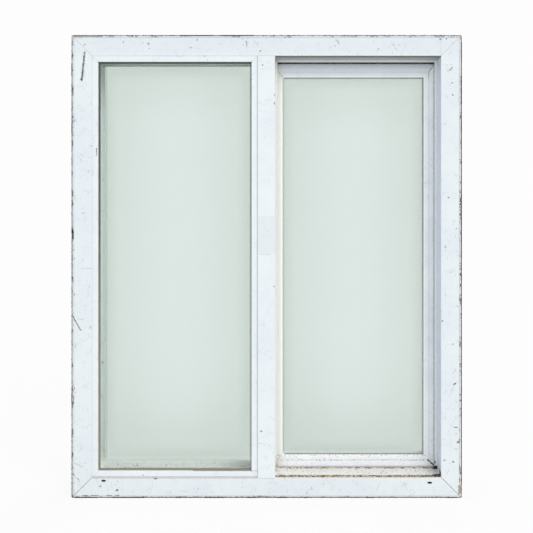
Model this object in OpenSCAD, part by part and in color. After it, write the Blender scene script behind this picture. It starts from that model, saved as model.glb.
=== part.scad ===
// Single slider window with its frame: fixed glass on the left, a sash on the right that slides behind it.
// X runs right, Y runs from the outside to the room, Z runs up.
// The origin is the middle of the sill's underside.

/* [Frame] */
// Outside width of the frame
frame_w = 900; // [760:1:1400]
// Outside height of the frame
frame_h = 1067; // [700:1:1600]
// Depth of the frame from front face to room face
frame_d = 80; // [78:1:100]
// Width of the front face of a frame bar
face_w = 48; // [44:0.5:60]
// Wall of the hollow frame bars
wall = 2; // [1.2:0.1:3]
// Radius of the frame's outer corners
corner_r = 3; // [1:0.5:6]
// Width of the bevel along the outer front edge
edge_w = 6.5; // [3:0.5:10]
// Depth of the bevel along the outer front edge
edge_d = 2; // [1:0.1:4]
// Leg length of the keys inside the frame corners
key_leg = 60; // [40:1:90]
// Thickness of the keys inside the frame corners
key_t = 10; // [6:0.5:14]
// Distance of the corner keys from the outer edge
key_in = 14; // [10:0.5:24]

/* [Sash channel] */
// Share of the frame's depth taken by the plain reveal in front of the channel lip
reveal_share = 0.475; // [0.45:0.005:0.55]
// Thickness of the channel lip
lip_t = 2; // [1.5:0.1:4]
// Height of the lip and of the room leg above the reveal
lip_h = 5.2; // [3:0.1:9]
// Thickness of the room leg behind the channel
leg_t = 3; // [2:0.1:5]
// Distance of the channel floor from the outer edge
floor_in = 38; // [30:0.5:42]
// Extra channel depth in the head, for lifting the sash out
head_extra = 4; // [2:0.5:10]

/* [Fixing and drainage] */
// Radius of the wall screw holes in the jambs
fix_r = 3; // [2:0.1:5]
// Radius of the access holes in the channel floor
access_r = 6; // [5:0.1:8]
// Distance of the wall screw holes from head and sill
fix_in = 200; // [120:1:300]
// Length of a weep slot
weep_l = 10.4; // [6:0.1:30]
// Height of a weep slot
weep_h = 5; // [3:0.1:8]
// Distance of the weep slots from the frame sides
weep_in = 74.5; // [62:0.5:150]
// Height of the left weep slot above the sill's underside
weep_left_z = 40; // [16:0.5:42]
// Height of the right weep slot above the sill's underside
weep_right_z = 35.5; // [16:0.5:42]

/* [Mullion] */
// Width of the mullion
mullion_w = 40; // [36:0.5:60]
// Offset of the mullion from the middle of the frame
mullion_x = -1; // [-20:0.5:20]
// How far the mullion stands in front of the frame face
mullion_proud = 1; // [0.5:0.1:2]
// How far the mullion laps over the face of the sill
mullion_lap = 2.5; // [1:0.5:6]
// Height of the blocks in the mullion's ends
end_block_h = 14; // [12:0.5:24]
// Shank radius of the mullion screws
mullion_screw_r = 2; // [1.5:0.1:2.5]
// Spacing of the two screws at each end
mullion_screw_gap = 18; // [10:0.5:22]
// Depth of the room behind the mullion for the interlock
hook_room = 8; // [7:0.5:12]
// Sheet thickness of the two interlock strips
hook_t = 1.5; // [1:0.1:1.8]
// How far the mullion's interlock strip shows beside it
hook_out = 5.2; // [4:0.1:8]
// Length of the turned-in tip of the mullion's strip
hook_tip = 9; // [8:0.1:12]

/* [Fixed glazing] */
// Visible width of the glazing beads
bead_w = 14; // [12:0.5:20]
// Set-back of the bead behind the frame face
bead_set = 0.8; // [0.4:0.1:2]
// Thickness of the bead
bead_t = 4.2; // [3:0.1:5]
// Width of the bead's foot on the reveal
bead_foot = 2.5; // [1.5:0.1:3]
// How far the gasket shows beyond the bead
gasket_lip = 2.6; // [1:0.1:5]
// Thickness of the gasket between bead and glass
gasket_t = 4; // [3:0.1:5]
// Thickness of each pane
pane_t = 4; // [3:0.5:6]
// Room left round the edge of a glass unit
glass_gap = 4; // [3:0.5:5]
// Width of the spacer bar between the panes
spacer_w = 8; // [6:0.5:8]
// Thickness of the tape behind the glass
tape_t = 2; // [1:0.1:3]
// Width of the stop behind the glass
stop_w = 8; // [7:0.5:10]
// Length of a setting block
block_l = 60; // [40:1:80]

/* [Sash] */
// Gap between the channel lip and the face of the sash
sash_set = 3; // [2.5:0.1:4]
// Gap between the back of the sash and the room leg
sash_back = 4; // [3:0.1:5]
// Wall of the sash bars
sash_wall = 2; // [1.2:0.1:2.5]
// Width of the flat face of a sash bar
sash_face = 26; // [24:0.5:34]
// Visible width of the sash beads
sash_bead_w = 11.5; // [10:0.5:18]
// How far the sash gasket shows beyond the bead
sash_gasket_lip = 1.2; // [1:0.1:4]
// Thickness of the sash gasket
sash_gasket_t = 3; // [2:0.1:4]
// Overlap of the sash behind the mullion
overlap = 21.8; // [20:0.1:30]
// Gap between the closed sash and the jamb's channel floor
close_gap = 2.1; // [1.5:0.1:4]
// Height of the sash above the sill's channel floor
sash_lift = 4.4; // [3.5:0.1:5.5]
// Engagement of the sash in the head channel
head_bite = 3.3; // [2:0.1:5]
// Leg length of the angles in the sash corners
angle_leg = 40; // [25:1:44]
// Thickness of the angles in the sash corners
angle_t = 3; // [2:0.5:4]

/* [Seals and stops] */
// Clearance between still and sliding pieces that meet softly
soft_gap = 0.3; // [0.2:0.05:0.6]
// Clearance between pieces that run past one another
run_gap = 1; // [0.6:0.1:1.4]
// How far the head's pile shows below the lip
head_fringe = 4; // [1:0.1:5]
// How far the sill's pile shows above the lip
sill_fringe = 1.8; // [0.5:0.1:4]
// How far the jamb's pile shows beside the lip
jamb_fringe = 1.8; // [0.5:0.1:4]
// Depth of a pile strip behind the edge of the lip
pile_root = 6; // [4:0.5:8]
// Length of the rubber pads in the jamb channels
pad_l = 40; // [20:1:60]
// Room beside the rubber pads in the jamb channels
pad_side = 1.5; // [0.5:0.1:2]
// Length of the blocks that stop the open sash
open_stop_l = 23.9; // [10:0.1:60]
// How far the blocks that stop the open sash overlap its rails
open_stop_bite = 2.1; // [1.5:0.1:3]

/* [Rollers and guides] */
// Distance of the rollers and guides from the ends of the sash
roller_in = 95; // [92:1:130]
// Radius of the wheel's tread
tread_r = 9; // [8:0.1:9.5]
// Radius of the wheel's flanges
flange_r = 10.8; // [10:0.1:11.2]
// Width of a wheel
wheel_w = 8; // [7:0.5:10]
// Radius of the wheel axles
axle_r = 2.5; // [2:0.1:3]
// Radial clearance on axles and pins
pin_fit = 0.05; // [0.01:0.01:0.1]
// Length of a roller housing
housing_l = 44; // [36:1:56]
// Height of the sill track above the channel floor
track_h = 6; // [5:0.1:6.5]
// Width of the sill track
track_w = 4; // [3:0.1:4.5]
// Width of the rail feet
rail_foot_w = 16; // [12:0.5:20]
// Thickness of the rail feet and of the head guide's fin
rail_t = 2; // [1.5:0.1:3]
// Engagement of the head guide in the sash's top groove
guide_bite = 6; // [4:0.5:7]

/* [Latch] */
// Height of the latch above the sill's underside
latch_z = 520; // [300:1:700]
// Width of the latch base
latch_w = 16; // [15:0.5:20]
// Length of the latch base
latch_l = 72; // [60:1:100]
// Thickness of the latch base
latch_t = 3; // [2:0.5:4]
// Gap between the latch base and the jamb's room leg
latch_gap = 2.3; // [1.5:0.1:5]
// Outer radius of the crescent
cam_r = 18.5; // [18:0.5:20]
// Width of the crescent's rim
rim_w = 3; // [2:0.1:3.5]
// Height of the crescent's rim
rim_h = 3.5; // [3:0.1:5]
// Thickness of the cam plate
cam_t = 3; // [2:0.1:4]
// Half angle of the crescent
cam_half = 48; // [40:1:50]
// Angle of the open crescent above the keeper
cam_open = 68; // [66:1:70]
// Radius of the cam's hub
hub_r = 7; // [6:0.5:8]
// Radius of the latch pin
latch_pin_r = 3; // [2:0.1:3.5]
// Length of the latch handle from its pin
handle_l = 46; // [35:1:60]
// Width of the latch handle
handle_w = 11; // [8:0.5:14]
// Thickness of the latch handle
handle_t = 4; // [3:0.5:6]
// Thickness of the keeper plate
keeper_t = 2; // [1.5:0.1:2.5]
// Width of the keeper plate
keeper_w = 14; // [12:0.5:18]
// Height of the keeper plate
keeper_h = 44; // [38:1:60]
// Half height of the keeper's tab
tab_half = 4; // [3:0.5:4.5]
// Shank radius of the latch and keeper screws
latch_screw_r = 1.8; // [1.4:0.1:2]
// Clearance round the screws
screw_fit = 0.2; // [0.1:0.05:0.4]
// Height of the latch and keeper screw heads
screw_head_h = 1.6; // [1:0.1:2.5]
// Distance of the latch screws from the ends of the base
latch_screw_in = 9; // [7:0.5:12]
// Distance of the keeper screws from the ends of the plate
keeper_screw_in = 8; // [6:0.5:9]
// Distance of the keeper screws from the plate's outer edge
keeper_screw_side = 4; // [3.8:0.1:5]

/* [Hidden] */
$fn = 48;
// Overcut of holes and slots past the walls they go through
cut = 1;
// Frame lines, measured in from the outer edge or back from the front face
lip_in = face_w + lip_h;
lip_d = frame_d * reveal_share;
channel_d = lip_d + lip_t;
leg_d = frame_d - leg_t;
channel_mid = (channel_d + leg_d) / 2;
key_span = lip_d - wall;
// Mullion lines
mullion_left = mullion_x - mullion_w / 2;
mullion_right = mullion_x + mullion_w / 2;
reveal_h = frame_h - 2 * face_w;
lip_open_h = reveal_h - 2 * lip_h;
hook_edge = mullion_right + hook_out;
hook_rear = channel_d - run_gap;
mullion_d = hook_rear - hook_room;
hook_front = mullion_d + hook_t;
// Sash lines
sash_d = channel_d + sash_set;
sash_t = leg_d - sash_back - sash_d;
sash_right = frame_w / 2 - floor_in - close_gap;
sash_left = mullion_right - overlap;
sash_bottom = floor_in + sash_lift;
sash_top = frame_h - lip_in + head_bite;
sash_w = sash_right - sash_left;
sash_h = sash_top - sash_bottom;
sash_x = (sash_left + sash_right) / 2;
sash_z = (sash_bottom + sash_top) / 2;
sash_sight = sash_face + sash_bead_w;
sash_glass_in = sash_face + glass_gap;
groove_depth = sash_face - sash_wall;
sash_stop_w = sash_sight - sash_wall;
// Glass units: both are as thick as the sash allows
sash_glass_d = bead_set + bead_t + sash_gasket_t;
sash_tape_d = sash_t - sash_wall - tape_t;
unit_t = sash_tape_d - sash_glass_d;
pane_gap = unit_t - 2 * pane_t;
fixed_w = mullion_left + frame_w / 2 - face_w;
fixed_x = (mullion_left - frame_w / 2 + face_w) / 2;
gasket_d = bead_set + bead_t;
glass_d = gasket_d + gasket_t;
tape_d = glass_d + unit_t;
stop_d = tape_d + tape_t;
// Interlock of the sash
strip_low = lip_in + sash_lift + 2 * soft_gap;
strip_high = frame_h - lip_in - head_fringe - 2 * soft_gap;
sash_hook_d = hook_front + hook_t;
sash_hook_x = hook_edge - hook_tip - 2 * hook_t - 4 * hook_t;
// Rollers run in the sash groove on the sill track
groove_mid = sash_d + sash_t / 2;
axle_z = floor_in + track_h + soft_gap + tread_r;
housing_low = sash_bottom + sash_wall * 2;
housing_high = sash_bottom + groove_depth;
slot_w = wheel_w + run_gap;
slot_r = flange_r + run_gap;
// Rollers, housings and guides sit at the same two places
roller_left_x = sash_left + roller_in;
roller_right_x = sash_right - roller_in;
// Latch on the room face of the lock stile
leg_edge = frame_w / 2 - lip_in;
latch_x = leg_edge - latch_gap - latch_w / 2;
base_d = sash_d + sash_t;
hub_d = base_d + latch_t + soft_gap;
keeper_d = frame_d + keeper_t;
rim_d = keeper_d + soft_gap * 2;
cam_d = rim_d + rim_h;
handle_d = cam_d + cam_t;
tab_x = leg_edge + keeper_t;
tab_top = cam_d - soft_gap * 2;
latch_screw_z = latch_l / 2 - latch_screw_in;
keeper_screw_z = keeper_h / 2 - keeper_screw_in;
keeper_screw_x = tab_x + keeper_w - keeper_screw_side;
screw_head_r = 2 * latch_screw_r;
pin_head_r = 2 * latch_pin_r;

white_paint = [0.91, 0.94, 0.96];
bare_metal = [0.7, 0.71, 0.72];
pane = [0.72, 0.82, 0.77, 0.5];
black_rubber = [0.12, 0.12, 0.11];
pale_plastic = [0.86, 0.85, 0.8];

// Puts the front face of the frame at y = 0
module from_front() translate([0, -frame_d / 2, 0]) children();

module at_frame() from_front() translate([0, 0, frame_h / 2]) children();

module at_fixed() from_front() translate([fixed_x, 0, frame_h / 2]) children();

module at_sash() from_front() translate([sash_x, sash_d, sash_z]) children();

// One mitred side of a rectangle w by h: 0 bottom, 1 right, 2 top, 3 left.
// The child is the section, with x going back from the front and y going in from the outer edge.
module side(w, h, i, reach) {
    along = i % 2 == 0 ? w : h;
    across = i % 2 == 0 ? h : w;
    rotate([0, -90 * i, 0])
        translate([0, 0, -across / 2])
            intersection() {
                rotate([90, 0, 90]) linear_extrude(along, center = true) children();
                rotate([90, 0, 0])
                    linear_extrude(4 * frame_d, center = true)
                        polygon([[-along / 2, 0], [along / 2, 0],
                            [along / 2 - reach, reach], [-along / 2 + reach, reach]]);
            }
}

// Four mitred sides as one ring
module ring(w, h, reach) {
    for (i = [0:3]) side(w, h, i, reach) children();
}

// A flat rectangular band, set in from the edges of w by h, from depth d to d + t
module band(w, h, inset, width, d, t) {
    translate([0, d + t, 0])
        rotate([90, 0, 0])
            linear_extrude(t)
                difference() {
                    square([w - 2 * inset, h - 2 * inset], center = true);
                    square([w - 2 * (inset + width), h - 2 * (inset + width)], center = true);
                }
}

// A round bar that runs back from the given point
module bar_back(r, l) rotate([-90, 0, 0]) cylinder(r = r, h = l);

// A box from its lowest corner to its highest
module span(low, high) translate(low) cube(high - low);

// Hollow section of a frame bar: front box, lip, sash channel and room leg
module frame_section(floor_at) {
    difference() {
        polygon([[edge_d, 0], [frame_d, 0], [frame_d, lip_in], [leg_d, lip_in], [leg_d, floor_at],
            [channel_d, floor_at], [channel_d, lip_in], [lip_d, lip_in], [lip_d, face_w],
            [0, face_w], [0, edge_w]]);
        polygon([[wall, edge_w + wall], [edge_d + wall, wall], [lip_d, wall],
            [lip_d, face_w - wall], [wall, face_w - wall]]);
        translate([channel_d, wall]) square([leg_d - channel_d, floor_at - 2 * wall]);
    }
}

// What is taken off the frame to round its outer corners
module corner_cuts() {
    through = frame_d + 2 * cut;
    for (mx = [0, 1], mz = [0, 1])
        mirror([mx, 0, 0]) mirror([0, 0, mz])
            translate([frame_w / 2 - corner_r, -cut, frame_h / 2 - corner_r])
                difference() {
                    cube([corner_r + cut, through, corner_r + cut]);
                    bar_back(corner_r, through);
                }
}

module frame_bar(i, floor_at) {
    at_frame()
        difference() {
            side(frame_w, frame_h, i, lip_in) frame_section(floor_at);
            corner_cuts();
        }
}

// Screw positions at both ends of the mullion
module at_mullion_screws() {
    for (s = [-1, 1])
        from_front()
            translate([mullion_x + s * mullion_screw_gap / 2, mullion_d / 2, frame_h / 2]) children();
}

module mullion_screw_holes() {
    at_mullion_screws()
        cylinder(r = mullion_screw_r + screw_fit, h = reveal_h + 2 * wall + 2 * cut, center = true);
}

// A slot with round ends, cut back from the front
module weep_slot() {
    straight = weep_l - weep_h;
    for (s = [-1, 1]) translate([s * straight / 2, -cut, 0]) bar_back(weep_h / 2, wall + 2 * cut);
    translate([-straight / 2, -cut, -weep_h / 2]) cube([straight, wall + 2 * cut, weep_h]);
}

// Wall screw holes through one jamb, drilled from the channel side
module jamb_holes() {
    for (z = [fix_in, frame_h - fix_in])
        translate([0, channel_mid, z])
            rotate([0, 90, 0]) {
                translate([0, 0, -cut]) cylinder(r = fix_r, h = wall + 2 * cut);
                translate([0, 0, floor_in - wall - cut]) cylinder(r = access_r, h = wall + 2 * cut);
            }
}

module frame_head() {
    color(white_paint)
        difference() {
            frame_bar(2, floor_in - head_extra);
            mullion_screw_holes();
        }
}

module frame_sill() {
    color(white_paint)
        difference() {
            frame_bar(0, floor_in);
            mullion_screw_holes();
            from_front() translate([-frame_w / 2 + weep_in, 0, weep_left_z]) weep_slot();
            from_front() translate([frame_w / 2 - weep_in, 0, weep_right_z]) weep_slot();
        }
}

module frame_jamb_left() {
    color(white_paint)
        difference() {
            frame_bar(3, floor_in);
            from_front() translate([-frame_w / 2, 0, 0]) jamb_holes();
        }
}

module frame_jamb_right() {
    color(white_paint)
        difference() {
            frame_bar(1, floor_in);
            from_front() translate([frame_w / 2, 0, 0]) mirror([1, 0, 0]) jamb_holes();
        }
}

// Cast angle keys that join the bars at the mitres
module frame_corner_keys() {
    color(bare_metal)
        for (mx = [0, 1], mz = [0, 1])
            at_frame()
                mirror([mx, 0, 0]) mirror([0, 0, mz])
                    translate([-frame_w / 2 + key_in, wall, -frame_h / 2 + key_in]) {
                        cube([key_leg, key_span, key_t]);
                        cube([key_t, key_span, key_leg]);
                    }
}

// Box section with a proud, lapped front, and a flange between the angles behind the fixed glass
module mullion() {
    color(white_paint)
        from_front()
            difference() {
                union() {
                    span([mullion_left, 0, face_w], [mullion_right, mullion_d, frame_h - face_w]);
                    span([mullion_left, -mullion_proud, face_w - mullion_lap],
                        [mullion_right, 0, frame_h - face_w]);
                    span([mullion_left - stop_w, stop_d, face_w + stop_w],
                        [mullion_left, mullion_d, frame_h - face_w - stop_w]);
                }
                span([mullion_left + wall, wall - mullion_proud, face_w],
                    [mullion_right - wall, mullion_d - wall, frame_h]);
            }
}

module mullion_end_blocks() {
    color(bare_metal)
        difference() {
            from_front()
                for (z = [face_w, frame_h - face_w - end_block_h])
                    span([mullion_left + wall, wall - mullion_proud, z],
                        [mullion_right - wall, mullion_d - wall, z + end_block_h]);
            mullion_screw_holes();
        }
}

// Pan head screws, driven from inside the frame bars
module mullion_screws() {
    head_z = reveal_h / 2 + wall;
    color(bare_metal)
        at_mullion_screws()
            for (m = [0, 1])
                mirror([0, 0, m]) {
                    translate([0, 0, head_z]) cylinder(r = 2 * mullion_screw_r, h = mullion_screw_r);
                    translate([0, 0, reveal_h / 2 - end_block_h])
                        cylinder(r = mullion_screw_r, h = end_block_h + wall);
                }
}

// Bent strip behind the mullion that hooks over the sash's strip
module mullion_interlock() {
    color(pale_plastic)
        from_front()
            translate([0, 0, lip_in + soft_gap])
                linear_extrude(lip_open_h - 2 * soft_gap)
                    polygon([[hook_edge - 2 * hook_tip, mullion_d], [hook_edge, mullion_d],
                        [hook_edge, hook_rear], [hook_edge - hook_tip, hook_rear],
                        [hook_edge - hook_tip, hook_rear - hook_t], [hook_edge - hook_t, hook_rear - hook_t],
                        [hook_edge - hook_t, hook_front], [hook_edge - 2 * hook_tip, hook_front]]);
}

module fixed_glass_outer() {
    color(pane) fixed_pane(glass_d);
}

module fixed_glass_inner() {
    color(pane) fixed_pane(glass_d + pane_t + pane_gap);
}

module fixed_pane(d) {
    at_fixed()
        translate([0, d + pane_t / 2, 0])
            cube([fixed_w - 2 * glass_gap, pane_t, reveal_h - 2 * glass_gap], center = true);
}

module fixed_spacer() {
    color(bare_metal)
        at_fixed() band(fixed_w, reveal_h, glass_gap, spacer_w, glass_d + pane_t, pane_gap);
}

// Snap-in bead: a flat front with an eased inner edge, and a foot on the reveal
module bead_section(width, root) {
    ease = bead_set;
    polygon([[bead_set, root], [bead_set + bead_t + bead_foot, root],
        [bead_set + bead_t + bead_foot, root + bead_foot], [bead_set + bead_t, root + bead_foot],
        [bead_set + bead_t, root + width], [bead_set + ease, root + width],
        [bead_set, root + width - ease]]);
}

module fixed_bead(i) {
    color(white_paint) at_fixed() side(fixed_w, reveal_h, i, bead_w) bead_section(bead_w, 0);
}

module fixed_bead_bottom() fixed_bead(0);

module fixed_bead_right() fixed_bead(1);

module fixed_bead_top() fixed_bead(2);

module fixed_bead_left() fixed_bead(3);

// Wedge gasket: a flat back on the glass and a lip that bulges past the bead
module gasket_section(d, thick, bead_edge, lip) {
    polygon([[d, bead_edge - thick], [d + thick, bead_edge - thick], [d + thick, bead_edge + lip],
        [d + thick / 2, bead_edge + lip], [d, bead_edge + lip / 2]]);
}

module fixed_gasket() {
    color(black_rubber)
        at_fixed()
            ring(fixed_w, reveal_h, bead_w + gasket_lip)
                gasket_section(gasket_d, gasket_t, bead_w, gasket_lip);
}

module fixed_rear_tape() {
    color(black_rubber)
        at_fixed() band(fixed_w, reveal_h, glass_gap, stop_w - glass_gap, tape_d, tape_t);
}

// Angle behind the glass along sill, head and left jamb, backed by the channel lip
module fixed_stop() {
    color(white_paint)
        at_fixed()
            for (i = [0, 2, 3])
                side(fixed_w, reveal_h, i, stop_w)
                    polygon([[stop_d, 0], [lip_d, 0], [lip_d, wall], [stop_d + wall, wall],
                        [stop_d + wall, stop_w], [stop_d, stop_w]]);
}

module fixed_setting_blocks() {
    color(black_rubber)
        from_front()
            for (s = [-1, 1])
                translate([fixed_x + s * fixed_w / 4 - block_l / 2, glass_d, face_w])
                    cube([block_l, unit_t, glass_gap]);
}

// Brush strips behind the lip, between it and the face of the sash
module head_pile() {
    color(black_rubber)
        from_front()
            span([hook_edge + soft_gap, channel_d, frame_h - lip_in - head_fringe],
                [leg_edge, sash_d - soft_gap, frame_h - lip_in + pile_root]);
}

module sill_pile() {
    color(black_rubber)
        from_front()
            span([hook_edge + soft_gap, channel_d, lip_in - pile_root],
                [leg_edge, sash_d - soft_gap, lip_in + sill_fringe]);
}

module jamb_pile() {
    color(black_rubber)
        from_front()
            span([leg_edge - jamb_fringe, channel_d, lip_in + sill_fringe],
                [leg_edge + pile_root, sash_d - soft_gap, frame_h - lip_in - head_fringe]);
}

module mullion_pile() {
    color(black_rubber)
        from_front()
            span([hook_edge - hook_tip + hook_t, hook_rear, strip_low],
                [hook_edge - hook_t, sash_d - soft_gap, strip_high]);
}

// Brush strips on the room leg at sill, right jamb and head
module rear_pile() {
    rear = sash_d + sash_t + soft_gap;
    color(black_rubber)
        from_front() {
            span([hook_edge, rear, sash_bottom + run_gap], [leg_edge, leg_d, lip_in]);
            span([hook_edge, rear, frame_h - lip_in], [leg_edge, leg_d, sash_top - run_gap]);
            span([leg_edge, rear, lip_in], [leg_edge + pile_root, leg_d, frame_h - lip_in]);
        }
}

// Foot and rib of the rail that carries the rollers
module sill_track() {
    rail_l = frame_w - 2 * floor_in;
    color(bare_metal)
        from_front()
            translate([0, groove_mid, floor_in])
                rotate([90, 0, 90])
                    linear_extrude(rail_l, center = true) {
                        translate([-rail_foot_w / 2, 0]) square([rail_foot_w, rail_t]);
                        polygon([[-track_w / 2, 0], [track_w / 2, 0], [track_w / 2, track_h - track_w / 4],
                            [track_w / 4, track_h], [-track_w / 4, track_h],
                            [-track_w / 2, track_h - track_w / 4]]);
                    }
}

// Foot and fin that keep the top of the sash in line
module head_guide() {
    rail_l = frame_w - 2 * floor_in;
    head_z = frame_h - floor_in + head_extra;
    color(bare_metal)
        from_front() {
            span([-rail_l / 2, groove_mid - rail_foot_w / 2, head_z - rail_t],
                [rail_l / 2, groove_mid + rail_foot_w / 2, head_z]);
            span([-rail_l / 2, groove_mid - rail_t / 2, sash_top - guide_bite],
                [rail_l / 2, groove_mid + rail_t / 2, head_z - rail_t]);
        }
}

// Rubber pads on the right jamb's channel floor, at two heights
module close_pads() {
    color(black_rubber)
        from_front()
            for (z = [fix_in + pad_l, frame_h - fix_in - 2 * pad_l])
                span([sash_right + soft_gap, channel_d + pad_side, z],
                    [frame_w / 2 - floor_in, leg_d - pad_side, z + pad_l]);
}

// Blocks at the left ends of the sill and head channels that the open sash runs against
module open_stops() {
    low_x = -frame_w / 2 + floor_in;
    low_d = channel_d + pad_side;
    high_d = groove_mid - rail_foot_w / 2 - soft_gap;
    color(black_rubber)
        from_front() {
            span([low_x, low_d, floor_in], [low_x + open_stop_l, high_d, sash_bottom + open_stop_bite]);
            span([low_x, low_d, sash_top - open_stop_bite],
                [low_x + open_stop_l, high_d, frame_h - floor_in + head_extra]);
        }
}

module at_keeper_screws() {
    from_front()
        for (s = [-1, 1]) translate([keeper_screw_x, 0, latch_z + s * keeper_screw_z]) children();
}

// Plate on the room leg with a tab that the crescent passes behind
module latch_keeper() {
    color(bare_metal)
        difference() {
            from_front() {
                span([tab_x, frame_d, latch_z - keeper_h / 2],
                    [tab_x + keeper_w, keeper_d, latch_z + keeper_h / 2]);
                span([tab_x, keeper_d, latch_z - tab_half], [tab_x + keeper_t, tab_top, latch_z + tab_half]);
            }
            at_keeper_screws() translate([0, frame_d - cut, 0])
                bar_back(latch_screw_r + screw_fit, keeper_t + 2 * cut);
        }
}

// Screw with a low round head, pointing forward
module latch_screw(length) {
    bar_back(screw_head_r, screw_head_h);
    translate([0, -length, 0]) bar_back(latch_screw_r, length);
}

module keeper_screws() {
    color(bare_metal) at_keeper_screws() translate([0, keeper_d, 0]) latch_screw(keeper_t);
}

// Sash bar: an open groove round the outside, a web, and a lip behind the glass
module sash_section() {
    polygon([[0, 0], [sash_wall, 0], [sash_wall, groove_depth], [sash_t - sash_wall, groove_depth],
        [sash_t - sash_wall, 0], [sash_t, 0], [sash_t, sash_stop_w], [sash_t - sash_wall, sash_stop_w],
        [sash_t - sash_wall, sash_face], [0, sash_face]]);
}

module sash_bar(i) at_sash() side(sash_w, sash_h, i, sash_stop_w) sash_section();

module sash_bottom_rail() {
    color(white_paint) sash_bar(0);
}

module at_latch_screws() {
    from_front()
        for (s = [-1, 1]) translate([latch_x, base_d, latch_z + s * latch_screw_z]) children();
}

module sash_stile_lock() {
    color(white_paint)
        difference() {
            sash_bar(1);
            at_latch_screws() translate([0, -sash_wall - cut, 0])
                bar_back(latch_screw_r + screw_fit, sash_wall + 2 * cut);
        }
}

module sash_top_rail() {
    color(white_paint) sash_bar(2);
}

module sash_stile_meeting() {
    color(white_paint) sash_bar(3);
}

// Bent angles seated in the grooves at the four corners
module sash_corner_angles() {
    seat = groove_depth - angle_t;
    angle_w = sash_t - 2 * sash_wall;
    color(bare_metal)
        for (mx = [0, 1], mz = [0, 1])
            at_sash()
                mirror([mx, 0, 0]) mirror([0, 0, mz])
                    translate([-sash_w / 2 + seat, sash_wall, -sash_h / 2 + seat]) {
                        cube([angle_leg, angle_w, angle_t]);
                        cube([angle_t, angle_w, angle_leg]);
                    }
}

module sash_pane(d) {
    at_sash()
        translate([0, d + pane_t / 2, 0])
            cube([sash_w - 2 * sash_glass_in, pane_t, sash_h - 2 * sash_glass_in], center = true);
}

module sash_glass_outer() {
    color(pane) sash_pane(sash_glass_d);
}

module sash_glass_inner() {
    color(pane) sash_pane(sash_glass_d + pane_t + pane_gap);
}

module sash_spacer() {
    color(bare_metal)
        at_sash() band(sash_w, sash_h, sash_glass_in, spacer_w, sash_glass_d + pane_t, pane_gap);
}

module sash_bead(i) {
    color(white_paint)
        at_sash() side(sash_w, sash_h, i, sash_sight) bead_section(sash_bead_w, sash_face);
}

module sash_bead_bottom() sash_bead(0);

module sash_bead_right() sash_bead(1);

module sash_bead_top() sash_bead(2);

module sash_bead_left() sash_bead(3);

module sash_gasket() {
    color(black_rubber)
        at_sash()
            ring(sash_w, sash_h, sash_sight + sash_gasket_lip)
                gasket_section(bead_set + bead_t, sash_gasket_t, sash_sight, sash_gasket_lip);
}

module sash_rear_tape() {
    color(black_rubber)
        at_sash() band(sash_w, sash_h, sash_glass_in, sash_stop_w - sash_glass_in, sash_tape_d, tape_t);
}

// Blocks that put the weight of the glass straight over the rollers
module sash_setting_blocks() {
    color(black_rubber)
        from_front()
            for (x = [roller_left_x, roller_right_x])
                translate([x - housing_l / 2, sash_d + sash_glass_d, sash_bottom + sash_face])
                    cube([housing_l, unit_t, glass_gap]);
}

// Strip that closes the meeting stile's groove and hooks in front of the mullion's strip
module sash_interlock() {
    color(pale_plastic)
        from_front()
            translate([0, 0, strip_low])
                linear_extrude(strip_high - strip_low)
                    polygon([[sash_left, sash_d + sash_t], [sash_left - hook_t, sash_d + sash_t],
                        [sash_left - hook_t, sash_d - hook_t], [sash_hook_x, sash_d - hook_t],
                        [sash_hook_x, sash_hook_d], [sash_hook_x + hook_tip + 2 * hook_t, sash_hook_d],
                        [sash_hook_x + hook_tip + 2 * hook_t, sash_hook_d + hook_t],
                        [sash_hook_x + hook_t, sash_hook_d + hook_t], [sash_hook_x + hook_t, sash_d],
                        [sash_left, sash_d]]);
}

// Slotted blocks in the top groove that run on the head guide
module sash_guides() {
    slot = rail_t + run_gap;
    color(pale_plastic)
        from_front()
            for (x = [roller_left_x, roller_right_x])
                difference() {
                    span([x - housing_l / 2, sash_d + sash_wall, sash_top - groove_depth],
                        [x + housing_l / 2, sash_d + sash_t - sash_wall, sash_top - run_gap]);
                    span([x - housing_l, groove_mid - slot / 2, sash_top - groove_depth + 2 * rail_t],
                        [x + housing_l, groove_mid + slot / 2, sash_top]);
                }
}

// Blocks in the bottom groove, each with a round-topped slot for its wheel and a bore for its axle
module roller_housings() {
    color(pale_plastic)
        from_front()
            for (x = [roller_left_x, roller_right_x])
                difference() {
                    span([x - housing_l / 2, sash_d + sash_wall, housing_low],
                        [x + housing_l / 2, sash_d + sash_t - sash_wall, housing_high]);
                    translate([x, groove_mid - slot_w / 2, axle_z]) bar_back(slot_r, slot_w);
                    span([x - slot_r, groove_mid - slot_w / 2, housing_low - cut],
                        [x + slot_r, groove_mid + slot_w / 2, axle_z]);
                    translate([x, sash_d, axle_z]) bar_back(axle_r + pin_fit, sash_t);
                }
}

module roller_axles() {
    axle_l = sash_t - 2 * sash_wall;
    color(bare_metal)
        from_front()
            for (x = [roller_left_x, roller_right_x])
                translate([x, sash_d + sash_wall, axle_z]) bar_back(axle_r, axle_l);
}

// Grooved wheel turned about its axle
module roller_wheel(x) {
    groove = (track_w + run_gap) / 2;
    half = wheel_w / 2;
    slope = flange_r - tread_r;
    color(pale_plastic)
        from_front()
            translate([x, groove_mid, axle_z])
                rotate([-90, 0, 0])
                    rotate_extrude()
                        polygon([[axle_r + pin_fit, -half], [flange_r, -half],
                            [flange_r, -groove - slope / 4], [tread_r, -groove], [tread_r, groove],
                            [flange_r, groove + slope / 4], [flange_r, half], [axle_r + pin_fit, half]]);
}

module roller_wheel_left() roller_wheel(roller_left_x);

module roller_wheel_right() roller_wheel(roller_right_x);

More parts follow.
